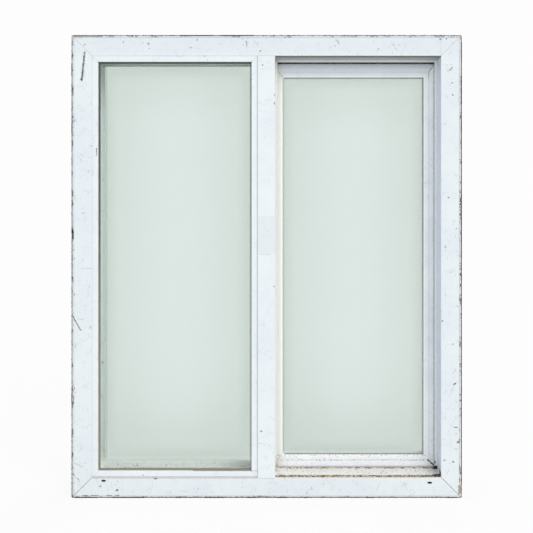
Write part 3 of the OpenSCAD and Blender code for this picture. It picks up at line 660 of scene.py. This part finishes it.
for x, z, width in (
        (-419, 1044, 3.2), (-330, 1049, 2.8), (-273, 1046, 3.8), (-270, 1035, 3.2), (-174, 1037, 3.0),
        (-160, 1055, 3.2), (-15, 1030, 3.6), (42, 1061, 3.8), (54, 1060, 3.4), (158, 1041, 3.2),
        (257, 1034, 2.8), (401, 1056, 4.2), (414, 1058, 3.6), (428, 956, 3.2), (428, 928, 3.2),
        (433, 263, 4.4), (405, 408, 3.0), (419, 692, 2.8), (409, 87, 3.4), (430, 83, 4.4),
        (441, 129, 5.0), (-255, 45, 4.6), (-383, 28, 4.2), (-344, 18, 3.8)):
    note_scratch((x - width * 0.3, z), (x + width * 0.3, z + 0.6), width, srgb(64, 51, 41), 0.9, 2.5)

note_patch((440.5, -50, 8), (452, 60, 31), 1.5, 8, srgb(156, 138, 124), 0.85, 220.0)
note_patch((-446, -70, 1061), (-377, 80, 1068), 1.5, 5, BROWN, 0.8, 140.0)
note_patch((-269, -70, 1064), (-15, 80, 1069), 1.5, 5, BROWN, 0.7, 140.0)
note_patch((446.5, -70, 802), (452, 80, 974), 1, 4, srgb(70, 58, 50), 0.9, 120.0)
note_patch((-470, -70, 1019), (470, -15, 1090), 12, 4, srgb(216, 222, 227), 0.3, 60.0)
print("marks so far:", len(frame_marks))

# %% [markdown]
# Rain leaves its dirt in the recess. The ledge under the sash has a brown line of grains at its front and
# another on the lip behind it, black in the right corner. The right reveal is painted a bluer grey as
# painted shade, with a brighter strip of painted light on its lip. The underside of the head is painted
# grey, darkest along its front edge. Behind the fixed glass the surfaces are painted paler as painted light,
# with a dark line of painted shade under the head's lip, two darker lines low down and a few specks.

# %% Recess and ledges
# painted light on the lip at the back of the right reveal, then painted shade in bluer grey on the reveal
note_patch((396, -2.4, 56), (402.4, 0.5, 1012), 0.6, 0.5, srgb(248, 251, 253), 0.9)
note_patch((400.6, -39, 52), (405, -2, 1016), 0.8, 1, srgb(204, 215, 228), 0.6, 60.0)

# the underside of the head is painted grey, darkest along its front edge
note_patch((19, -39.7, 1016), (403, -2, 1022), 0.8, 1.5, srgb(150, 149, 141), 0.8, 60.0)
note_patch((19, -39.7, 1012), (403, -20, 1026), 6, 3, srgb(92, 86, 76), 0.7, 90.0)
note_patch((19, -39.7, 1016), (403, -35, 1022), 1.0, 2, srgb(70, 64, 56), 0.6, 120.0)
note_patch((19, -3, 1012), (403, 1, 1022), 0.8, 1, srgb(216, 221, 222), 0.5, 60.0)

note_patch((26, -50, 45.6), (396, -30, 54), 2, 4, srgb(214, 192, 158), 0.5, 160.0)
note_patch((19, -39, 47), (404, 1, 53.4), 1.0, 2, srgb(240, 237, 232), 0.75, 60.0)
note_speckle((19, -39, 44), (404, 0, 53), srgb(120, 98, 74), 0.5, 240.0, 0.6)
note_patch((19, -38.8, 45), (404, -28, 51), 1.4, 6, srgb(204, 182, 150), 0.9, 260.0)
note_speckle((19, -39.6, 44), (404, -27, 52), srgb(44, 32, 22), 0.95, 210.0, 0.5)
note_patch((19, -6, 51), (404, -0.6, 53.1), 0.6, 1.2, srgb(178, 156, 124), 0.95, 300.0)
note_speckle((19, -6, 50), (404, 0, 54), srgb(46, 34, 24), 0.9, 210.0, 0.49)
note_patch((-402, -41, 44), (-21, -38, 49), 1.2, 3, DIRT, 0.35, 300.0)

note_patch((356, -39.3, 40), (412, -27, 58), 5, 9, srgb(60, 53, 46), 0.65, 150.0)
note_patch((384, -39.6, 40), (414, -20, 62), 6, 9, srgb(26, 23, 21), 0.95, 150.0)
note_patch((391, -8, 48.5), (406, 6, 58), 1.2, 2, srgb(26, 23, 20), 0.95, 200.0)
note_patch((396.4, -5, 62), (399.6, 1, 69), 0.5, 2, srgb(40, 36, 33), 0.85, 200.0)

# painted light: paler surfaces behind the fixed glass
for low, high, tone, strength in (
        ((-420, 30), (-21, 75), (255, 255, 250), 0.95),
        ((-452, 75), (-380, 1030), (255, 246, 226), 0.2),
        ((-402, 1000), (-21, 1030), (252, 255, 250), 0.9)):
    note_patch((low[0], -14, low[1]), (high[0], 38, high[1]), 1.5, 2, srgb(*tone), strength, 120.0)
# darker lines behind the glass; the one under the head's lip is painted shade
note_patch((-402, 10, 36), (-21, 36.4, 39.2), 0.5, 0.5, srgb(160, 168, 160), 0.6, 120.0)
note_patch((-402, 30, 1010), (-21, 46, 1015.5), 0.6, 0.5, srgb(96, 104, 94), 0.6, 120.0)
note_patch((-402, 37.9, 52.6), (-21, 44, 54.5), 0.4, 0.4, srgb(104, 102, 86), 0.7, 120.0)
note_speckle((-402, -16, 38), (-21, 37.6, 84), srgb(120, 96, 68), 0.75, 200.0, 0.6)
print("marks in all:", len(frame_marks))

# %% [markdown]
# Now each bar is painted. A mark belongs to a bar if their boxes meet, give or take the few
# millimetres by which noise shakes its outline. The worn rim gets no gloss, or it would mirror the
# white surroundings and look pale.

# %% Paint each bar of the frame
def touches(box, bar, margin=4):
    for low, high, bar_low, bar_high in zip(*box, *node_box(bar)):
        if low - margin > bar_high or high + margin < bar_low:
            return False
    return True


def paint_bar(bar):
    finish = Finish(bar + "_paint")
    finish.paint(FRAME_WHITE, 0.6, 0.9)
    edge = worn_edge(finish)
    marks = [(lay_mark, settings) for box, lay_mark, settings in frame_marks if touches(box, bar)]
    for lay_mark, settings in marks:
        lay_mark(finish, *settings)
    bare_sides(finish, edge)
    painted_cavity_shade(finish, edge)
    gloss = times(finish.tree, ramp(finish.tree, edge, 1.2 * MM, 3.6 * MM), 0.3)
    dress(finish.close(specular=gloss), bar)
    print(bar, "marks:", len(marks), "nodes:", len(finish.tree.nodes))


for bar in ("frame_head", "frame_sill", "frame_jamb_left", "frame_jamb_right", "fixed_stop"):
    paint_bar(bar)

# %% [markdown]
# The mullion, the beads and the sash are the same white, but each caught different weather. The
# mullion is the cleanest, with one faint crease and a few specks.

# %% Mullion paint
MULLION_FRONT = -41

coat = Finish("mullion_paint")
coat.paint(srgb(234, 239, 242), 0.35, 0.5)
mullion_edge = coat.rim((1.5, 0, 532.25), (22.5, 1, 486.75))
coat.lay(ramp(coat.tree, mullion_edge, 1.6 * MM, 0.3 * MM), srgb(178, 184, 187), 0.7)
for start, end, width, tone, strength, ragged in (
        ((-20, 127), (-2, 124), 1.8, (176, 168, 160), 0.5, 1.5),
        ((17.6, 931), (18.4, 926), 2.6, (128, 96, 66), 0.8, 2.0),
        ((17.6, 912), (18.4, 907), 2.6, (128, 96, 66), 0.8, 2.0),
        ((9.5, 561), (-16.5, 561), 1.2, (186, 180, 174), 0.7, 1.0)):
    coat.scratch(start, end, width, srgb(*tone), strength, ragged, depth=MULLION_FRONT)
coat.patch((-40, -60, 560), (30, -20, 652), 4, 4, srgb(214, 220, 224), 0.35, 60.0)
for x, z in ((-10, 998), (-13, 155), (17, 488)):
    coat.scratch((x, z), (x + 0.8, z - 1), 3.2, srgb(84, 70, 58), 0.85, 2.5, depth=MULLION_FRONT)
mullion_finish = coat.close(0.1)
dress(mullion_finish, "mullion")
print("paint:", mullion_finish.name)

# %% [markdown]
# The beads keep a grey line where they snap into the frame, so their paint also measures the distance from
# the opening's edge. Another line, a pale one of painted highlight, follows the glass. Dirt lies on the
# lower bead, and a dark line of painted shade runs under the upper one.

# %% Bead paint
FIXED_MIDDLE = (-211.5, 0, 533.5)
FIXED_HALF = (190.5, 1, 485.5)
BEAD_SIGHT_HALF = (176, 1, 471)


def highlight_line(finish, distance):
    """A painted highlight: a fine line on a bead, just outside the rectangle of visible glass."""
    away = sum_of(finish.tree, "ABSOLUTE", plus(finish.tree, distance, 1.6 * MM))
    return ramp(finish.tree, away, 1.5 * MM, 0.5 * MM)


coat = Finish("bead_paint")
coat.paint(srgb(233, 239, 242), 0.4, 0.55)
bead_edge = coat.rim(FIXED_MIDDLE, FIXED_HALF)
coat.lay(ramp(coat.tree, bead_edge, 1.3 * MM, 0.2 * MM), srgb(170, 176, 178), 0.5)
bead_sight = coat.rim(FIXED_MIDDLE, BEAD_SIGHT_HALF)
# painted highlight along the glass
coat.lay(highlight_line(coat, bead_sight), srgb(255, 255, 255), 0.25)
coat.scratch((-392, 806), (-392, 790), 2.6, BROWN, 0.8, 2.0)
coat.patch((-402, -45, 47), (-21, -30, 50.5), 1.2, 3, DIRT, 0.55, 300.0)
coat.patch((-170, -39.6, 61.3), (-21, -33, 64), 0.6, 1.5, srgb(112, 104, 90), 0.6, 200.0)
coat.patch((-388.7, -60, 64), (-380, 0, 1003), 0.5, 1.0, srgb(128, 120, 104), 0.7, 90.0)
# painted shade under the top bead
coat.patch((-390, -60, 1003), (-33, 0, 1005.4), 0.4, 0.5, srgb(78, 84, 77), 0.8)
for side_x, inner_x in ((-402, -388), (-21, -35)):
    for side_z, inner_z in ((48, 62), (1019, 1005)):
        coat.scratch((side_x, side_z), (inner_x, inner_z), 1.1, GREY, 0.45, 0.6)
for x, z in ((-36, 966), (-286, 54), (-143, 1019)):
    coat.scratch((x, z), (x + 1, z - 1), 3.0, srgb(110, 84, 60), 0.8, 2.5)
bead_finish = coat.close(0.1)
dress(bead_finish, "fixed_bead_bottom", "fixed_bead_right", "fixed_bead_top", "fixed_bead_left")
print("paint:", bead_finish.name)

# %% [markdown]
# The sash sits back in the recess. Its paint is made whiter than the frame's, as painted light against the
# recess's shade, and toned down again on its lit left part as painted shade. Under the head it is painted
# grey, which is painted shade. A pale line of painted highlight follows the glass. Grains of dirt lie on its
# lower rail, and its joints are dark.

# %% Sash paint
SASH_MIDDLE = (203.55, 0, 529.75)
SASH_BEAD_HALF = (180.35, 1, 461.35)
SASH_SIGHT_HALF = (168.85, 1, 449.85)
SASH_FRONT = 4

coat = Finish("sash_paint")
# whiter than the frame's paint: painted light for the shaded recess
coat.paint(srgb(246, 250, 252), 0.35, 0.5)
sash_edge = coat.rim(SASH_MIDDLE, SASH_BEAD_HALF)
sash_line = sum_of(coat.tree, "ABSOLUTE", sash_edge)
coat.lay(ramp(coat.tree, sash_line, 1.4 * MM, 0.2 * MM), srgb(150, 152, 150), 0.3)
sash_sight = coat.rim(SASH_MIDDLE, SASH_SIGHT_HALF)
# painted shade: tones down the lit left part
coat.patch((-20, -20, 20), (44, 40, 1030), 12, 4, srgb(237, 237, 231), 0.85)
# painted highlight along the glass
coat.lay(highlight_line(coat, sash_sight), srgb(255, 255, 255), 0.6)
coat.speckle((15, 0, 50), (400, 8, 82), srgb(140, 118, 92), 0.5, 330.0, 0.62)
coat.speckle((15, -4, 76.5), (400, 14, 84), srgb(130, 108, 82), 0.5, 260.0, 0.55)
coat.speckle((15, -4, 65.5), (400, 12, 71.5), srgb(130, 108, 82), 0.5, 260.0, 0.55)
# painted shade under the head, darkest at the top
for x, z, feather, ragged, tone, strength, grain in (
        (5, 1008.8, 1.0, 2, (66, 61, 55), 0.75, 200.0), (5, 995, 12, 4, (186, 191, 195), 0.75, 60.0),
        (5, 1004, 6, 4, (158, 161, 162), 0.6, 60.0), (20, 975, 16, 4, (214, 221, 228), 0.5, 60.0)):
    coat.patch((x, -20, z), (398, 30, 1030), feather, ragged, srgb(*tone), strength, grain)
for start, end, width, strength in (
        ((382.3, 68.4), (399, 53), 4.2, 1.0), ((398.5, 1011), (384.5, 993), 1.9, 0.75),
        ((384.3, 993), (384.3, 978), 1.4, 0.55), ((36, 82), (23.5, 68.4), 1.5, 0.45),
        ((27, 992), (37.5, 979), 1.5, 0.45)):
    coat.scratch(start, end, width, srgb(38, 35, 32), strength, 1.2, depth=SASH_FRONT)
coat.patch((394, 0, 40), (412, 8, 60), 3, 5, srgb(60, 55, 50), 0.85, 200.0)
sash_finish = coat.close(0.1)
dress(sash_finish, "sash_bottom_rail", "sash_stile_lock", "sash_top_rail", "sash_stile_meeting",
      "sash_bead_bottom", "sash_bead_right", "sash_bead_top", "sash_bead_left")
print("paint:", sash_finish.name)

# %% [markdown]
# ## Glass
# Each unit is two clear panes with a green cast. The colour is set on the pane: deeper near its edge,
# towards the bottom and, on the fixed unit, under the head, which is painted shade; and clear beyond the
# edge, where the ledge shows through. A thin darker line is drawn on the outer pane along its edge. Glass
# stops lamps in a path tracer, so shadow rays and bounced light pass straight through it.

# %% Glass
CLEAR_GREEN = srgb(237.4, 243.2, 241.3)
SHADED_GREEN = srgb(225.5, 232.5, 228.5)
PAST_EDGE = srgb(247, 251, 249)
EDGE_LINE_GREEN = srgb(206, 217, 209)


def pane_edge_line(glass, middle, half, back):
    """A thin line round a rectangle, on the pane in front of depth back only."""
    tree = glass.tree
    from_line = sum_of(tree, "ABSOLUTE", glass.rim(middle, half))
    outer = ramp(tree, depth_of(glass), back * MM, (back - 2) * MM)
    return times(tree, ramp(tree, from_line, 2.6 * MM, 1.2 * MM), outer)


def glass_finish(name, middle, half, head_shade, line):
    glass = Finish(name)
    tree = glass.tree
    room = room_inside(tree, glass.place, mm(*middle), mm(*half))
    shades = []
    # painted shade: the tint deepens near the pane's edges, low down and under the head
    for axis in ("X", "Z"):
        broad_shade = times(tree, ramp(tree, room[axis], 160 * MM, 0.0), 0.35)
        edge_shade = times(tree, ramp(tree, room[axis], 34 * MM, -6 * MM), 0.57)
        shades.append(plus(tree, broad_shade, edge_shade))
    painted_shade = minus(tree, plus(tree, *shades), times(tree, *shades))
    height = parts(tree, glass.place)["Z"]
    low_shade = times(tree, ramp(tree, height, 360 * MM, 100 * MM), 0.24)
    under_head_shade = times(tree, ramp(tree, height, 950 * MM, 990 * MM), head_shade)
    haze = times(tree, noise(tree, glass.place, 4.0), 0.06)
    for shade in (low_shade, under_head_shade, haze):
        painted_shade = plus(tree, painted_shade, shade, clamp=True)
    inside = sum_of(tree, "MINIMUM", room["X"], room["Z"])
    painted_shade = times(tree, painted_shade, ramp(tree, inside, -9 * MM, -1 * MM))
    color = tint(tree, painted_shade, CLEAR_GREEN, SHADED_GREEN)
    color = tint(tree, ramp(tree, room["Z"], -1 * MM, -6 * MM), color, PAST_EDGE)
    # a thin darker line along the pane's edge
    color = tint(tree, pane_edge_line(glass, *line), color, EDGE_LINE_GREEN)
    shader = add(tree, "ShaderNodeBsdfPrincipled", {
        "Base Color": color, "Roughness": 0.02, "IOR": 1.46, "Transmission Weight": 1.0})
    clear = add(tree, "ShaderNodeBsdfTransparent")
    rays = add(tree, "ShaderNodeLightPath").outputs
    passing = sum_of(tree, "MAXIMUM", rays["Is Shadow Ray"], rays["Is Diffuse Ray"])
    add(tree, "ShaderNodeOutputMaterial", {"Surface": blend(tree, passing, shader, clear)})
    return glass.material


# the sash's line is a rectangle of which only the left side falls on the pane
FIXED_LINE = (-205.5, 0, 541.5), (166.7, 1, 455.5), -24
SASH_LINE = (288.4, 0, 529.75), (250, 1, 600), 19
fixed_glass = glass_finish("fixed_glass", (-209, 0, 542.3), (167.6, 1, 456.4), 0.22, FIXED_LINE)
sash_glass = glass_finish("sash_glass", SASH_MIDDLE, (168.5, 1, 449.5), 0.0, SASH_LINE)
dress(fixed_glass, "fixed_glass_outer", "fixed_glass_inner")
dress(sash_glass, "sash_glass_outer", "sash_glass_inner")
print("glass:", fixed_glass.name, sash_glass.name)

# %% [markdown]
# ## Rubber, brush, plastic and metal
# The gaskets were black once and are now grey with dust, most of all at the bottom. White paint has run onto
# the sash's gasket at the left. The brush seals are the same fibre in three tones: dark under the head,
# dusty on the sill, and grey at the sides, where the lighter tone is painted light in the shaded gap.

# %% Rubber and brush
FIBRE = {"scale": 500.0, "detail": 3.0, "pale_from": 0.7, "uneven": 0.2, "bump": 0.4}


def rubber_finish(name, clean, dusty, painted_to=None):
    """Grey rubber, dustier low down; white paint may cover it left of one x."""
    rubber = Finish(name)
    tree = rubber.tree
    spot = parts(tree, rubber.place)
    dust = plus(tree, noise(tree, rubber.place, 160.0, 3.0), ramp(tree, spot["Z"], 900 * MM, 50 * MM))
    rubber.color = tint(tree, ramp(tree, dust, 0.45, 1.4), clean, dusty)
    if painted_to is not None:
        rubber.lay(ramp(tree, spot["X"], painted_to * MM, (painted_to - 1) * MM), srgb(236, 238, 232))
    rubber.rough = plus(tree, times(tree, dust, 0.15), 0.6)
    rubber.height = noise(tree, rubber.place, 900.0)
    return rubber.close(0.2)


def mottled_finish(name, dark, pale, scale, detail, pale_from, uneven, bump):
    """Two tones mixed by noise, which also gives the relief and an uneven roughness."""
    finish = Finish(name)
    tree = finish.tree
    finish.height = noise(tree, finish.place, scale, detail)
    finish.color = tint(tree, ramp(tree, finish.height, 0.35, pale_from), dark, pale)
    finish.rough = plus(tree, times(tree, finish.height, uneven), 0.95 - uneven)
    return finish.close(bump, 0.1)


fixed_rubber = rubber_finish("fixed_gasket_rubber", srgb(86, 92, 84), srgb(142, 135, 116))
sash_rubber = rubber_finish("sash_gasket_rubber", srgb(98, 106, 95), srgb(148, 146, 133), 41)
dress(fixed_rubber, "fixed_gasket", "fixed_rear_tape", "fixed_setting_blocks", "close_pads", "open_stops")
dress(sash_rubber, "sash_gasket", "sash_rear_tape", "sash_setting_blocks")

dark_brush = mottled_finish("dark_brush_fibre", srgb(16, 14, 12), srgb(46, 40, 34), **FIBRE)
dusty_brush = mottled_finish("dusty_brush_fibre", srgb(186, 174, 156), srgb(236, 229, 217), **FIBRE)
# painted light: lighter fibre where the side gaps lie in shade
grey_brush = mottled_finish("grey_brush_fibre", srgb(140, 143, 145), srgb(206, 210, 214), **FIBRE)
dress(dark_brush, "rear_pile")
print("rubber:", fixed_rubber.name, sash_rubber.name, "brush:", dark_brush.name)

# %% [markdown]
# The interlock strip beside the mullion has yellowed. The spacers between the panes and the guide in the
# head are plain paint; the guide's pale green-grey is painted light in the shaded band seen through the
# glass. The other metal inside is mill aluminium with fine lines along its length.

# %% Plastic and metal
strip = Finish("aged_strip")
strip.paint(srgb(230, 229, 220), 0.35, 0.7)
strip.patch((-30, -50, 44), (40, 60, 80), 8, 10, srgb(206, 192, 170), 0.6, 120.0)
strip.speckle((-30, -50, 44), (40, 60, 90), srgb(128, 104, 80), 0.6, 260.0, 0.56)
strip_finish = strip.close(0.1)
dress(strip_finish, "mullion_interlock", "sash_interlock")

moulding = Finish("pale_moulding")
moulding.paint(srgb(216, 212, 200), 0.4, 0.4)
moulding_finish = moulding.close(0.1)
dress(moulding_finish, "sash_guides", "roller_housings", "roller_wheel_left", "roller_wheel_right")

for name, tone in (("fixed_spacer", srgb(126, 134, 127)), ("sash_spacer", srgb(228, 232, 229)),
                   # the head guide's tone is painted light behind the glass
                   ("head_guide", srgb(191, 206, 202))):
    plain = Finish(name)
    plain.paint(tone, 0.1, 0.1)
    dress(plain.close(0.1), name)

metal = Finish("mill_metal")
tree = metal.tree
metal.height = noise(tree, stretch(tree, metal.place, (30, 900, 900)), 1.0, 3.0)
stain = noise(tree, metal.place, 60.0, 3.0)
metal.color = tint(tree, ramp(tree, stain, 0.5, 0.75), srgb(196, 198, 200), srgb(150, 146, 140))
metal.rough = plus(tree, times(tree, metal.height, 0.25), 0.25)
metal_finish = metal.close(0.1, 0.5, metallic=1.0, relief=0.3)
dress(metal_finish, "frame_corner_keys", "mullion_end_blocks", "mullion_screws", "sill_track",
      "latch_keeper", "keeper_screws", "sash_corner_angles", "roller_axles", "latch_base", "latch_pin",
      "latch_screws", "latch_cam")
undressed = [name for name, piece in nodes.items() if not piece.data.materials]
print("finishes:", len(bpy.data.materials), "nodes without one:", undressed)

# %% [markdown]
# ## Brush seals
# A brush seal is a woven tape with a fringe of fibres, and its uneven tips are what the eye catches
# along the lip of the recess. The solids hold plain strips there. Each strip is replaced by a tape
# and two rows of tapered tufts, every tuft a four-sided cone of its own length, inside the same box.

# %% Brush strips
X, Z = 0, 2
TAPE_BEVEL = 0.2
TUFT_PITCH = 1.5
TUFT_ROOT, TUFT_TIP = 0.62, 0.25


def new_piece(name, shape, body, material):
    bmesh.ops.recalc_face_normals(shape, faces=shape.faces)
    piece = mesh_object(name, shape, material)
    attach(piece, body)
    return piece


def add_tape(shape, low, high):
    size = [b - a for a, b in zip(low, high)]
    middle = [(a + b) / 2 for a, b in zip(low, high)]
    place = Matrix.Translation(mm(*middle)) @ Matrix.Diagonal((*mm(*size), 1))
    made = bmesh.ops.create_cube(shape, size=1, matrix=place)
    edges = list({e for v in made["verts"] for e in v.link_edges})
    bmesh.ops.bevel(shape, geom=edges, offset=TAPE_BEVEL * MM, offset_type="OFFSET", affect="EDGES",
                    segments=1, profile=0.5, material=-1)


def add_tufts(shape, low, high, run, tips, sign, rng):
    """Two rows of tufts in a box, along axis run and pointing along axis tips."""
    upward = Vector((0, 0, 1))
    pointing = Vector([sign if axis == tips else 0 for axis in range(3)])
    turn = upward.rotation_difference(pointing).to_matrix().to_4x4()
    root = low[tips] if sign > 0 else high[tips]
    free = high[tips] - low[tips]
    count = int((high[run] - low[run]) / TUFT_PITCH)
    for row in (0.3, 0.7):
        for i in range(count):
            length = free * rng.uniform(0.45, 1.0)
            spot = [0, low[1] + (high[1] - low[1]) * row, 0]
            spot[run] = low[run] + TUFT_PITCH * (i + rng.uniform(0.3, 0.7))
            spot[tips] = root + sign * length / 2
            bmesh.ops.create_cone(
                shape, cap_ends=True, segments=4, radius1=TUFT_ROOT * MM, radius2=TUFT_TIP * MM,
                depth=length * MM, matrix=Matrix.Translation(mm(*spot)) @ turn)


def brush_strip(name, replaced, run, tips, sign, tape_share, material):
    """Fill the box of a solid strip with tape, up to tape_share of its height, and tufts."""
    shape = bmesh.new()
    low, high = node_box(replaced)
    tape = (high[tips] - low[tips]) * tape_share
    tape_low, tape_high, tuft_low, tuft_high = list(low), list(high), list(low), list(high)
    if sign > 0:
        tape_high[tips] = tuft_low[tips] = low[tips] + tape
    else:
        tape_low[tips] = tuft_high[tips] = high[tips] - tape
    add_tape(shape, tape_low, tape_high)
    add_tufts(shape, tuft_low, tuft_high, run, tips, sign, random.Random(name))
    piece = new_piece(name, shape, "frame", material)
    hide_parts(replaced)
    print(name, "triangles:", sum(len(p.vertices) - 2 for p in piece.data.polygons))


brush_strip("head_brush", "head_pile", X, Z, -1, 0.74, dark_brush)
brush_strip("sill_brush", "sill_pile", X, Z, 1, 0.7, dusty_brush)
brush_strip("jamb_brush", "jamb_pile", Z, X, -1, 0.7, grey_brush)
brush_strip("mullion_brush", "mullion_pile", Z, X, -1, 0.5, grey_brush)

# %% [markdown]
# ## Crumbs of dirt
# Wind blows grit into the corner of every ledge. Hundreds of tiny lumps read as grit where a flat
# brown line would read as paint. Each is a low ball, squashed and turned at random but always the
# same way, because the random numbers start from a fixed seed.

# %% Grit on the ledges
CRUMB = {"scale": 200.0, "detail": 2.0, "pale_from": 0.65, "uneven": 0.1, "bump": 0.3}


def add_lump(shape, spot, scale, turn=0.0):
    """A ball of 1 mm at spot, scaled along each axis and turned about the upright one."""
    place = Matrix.Translation(mm(*spot)) @ Matrix.Rotation(turn, 4, "Z") @ Matrix.Diagonal((*scale, 1))
    bmesh.ops.create_icosphere(shape, subdivisions=1, radius=MM, matrix=place)


def scatter_grit(name, spreads):
    """Each spread is low x, high x, y, z, depth of the band, count, largest radius and height share."""
    rng = random.Random(name)
    shape = bmesh.new()
    for low_x, high_x, y, z, band, count, largest, rise in spreads:
        for _ in range(count):
            radius = largest * rng.uniform(0.3, 1.0) ** 1.6
            spot = (rng.uniform(low_x, high_x), y + rng.uniform(0, band), z + radius * 0.2)
            squash = rng.uniform(0.7, 1.5), rng.uniform(0.7, 1.2), rise * rng.uniform(0.7, 1.3)
            add_lump(shape, spot, [radius * share for share in squash], rng.uniform(0, math.pi))
    piece = new_piece(name, shape, "frame", ledge_grit)
    print(name, "triangles:", len(piece.data.polygons))


ledge_grit = mottled_finish("ledge_grit", srgb(36, 27, 20), srgb(206, 182, 146), **CRUMB)
scatter_grit("sill_grit", [
    (22, 400, -37.5, 48, 5, 170, 2.2, 0.8), (22, 400, -33, 48, 28, 90, 0.9, 0.6),
    (26, 396, -2.0, 52.5, 0.8, 150, 1.5, 0.5), (22, 60, -38, 48, 9, 40, 1.9, 0.8)])
scatter_grit("glass_grit", [
    (-398, -30, -2, 53.2, 2, 60, 1.0, 0.6), (-396, -30, 37.5, 53.2, 2.3, 60, 0.8, 0.6)])

# %% [markdown]
# Crumbs of old filler also cling to the outer edge, thick in some stretches and thin in others. They
# sit in the small rounding of that edge, so the outline becomes uneven but the window no larger.

# %% Crumbs on the outer edge
CRUMBED = {
    "left": ((215, 240), (597, 620), (721, 728), (832, 862), (974, 1000)),
    "right": ((221, 256), (486, 512), (553, 700), (839, 868), (889, 970), (1002, 1057)),
    "top": ((-395, -386), (-209, -124), (-112, -31)),
    "bottom": ((-441, -391), (-356, -285), (-225, -200), (-142, -100), (-50, -25), (12, 45), (79, 91),
               (224, 247), (411, 434)),
}


def add_crumbs(shape, side, stretches, rng):
    """Crumbs along one side, close together within the stretches, given in mm along that side."""
    upright = side in ("left", "right")
    along, end = (20, 1050) if upright else (-440, 440)
    half_wide, tall = FRAME_HALF[0], 2 * FRAME_HALF[2]
    while along < end:
        radius, length = rng.uniform(0.75, 1.0), rng.uniform(1.0, 2.4)
        across = {"left": radius - half_wide, "right": half_wide - radius, "top": tall - radius,
                  "bottom": radius}[side]
        if upright:
            add_lump(shape, (across, FRONT + radius, along), (radius, radius, length))
        else:
            add_lump(shape, (along, FRONT + radius, across), (length, radius, radius))
        thick = any(low <= along <= high for low, high in stretches)
        along += length * rng.uniform(0.9, 1.6) if thick else rng.uniform(6, 26)


crumbs = bmesh.new()
for side, stretches in CRUMBED.items():
    add_crumbs(crumbs, side, stretches, random.Random(side))
edge_filler = mottled_finish("edge_filler", srgb(22, 18, 15), srgb(78, 62, 50), **CRUMB)
crumb_piece = new_piece("rim_crumbs", crumbs, "frame", edge_filler)
print("rim crumbs, triangles:", len(crumb_piece.data.polygons))
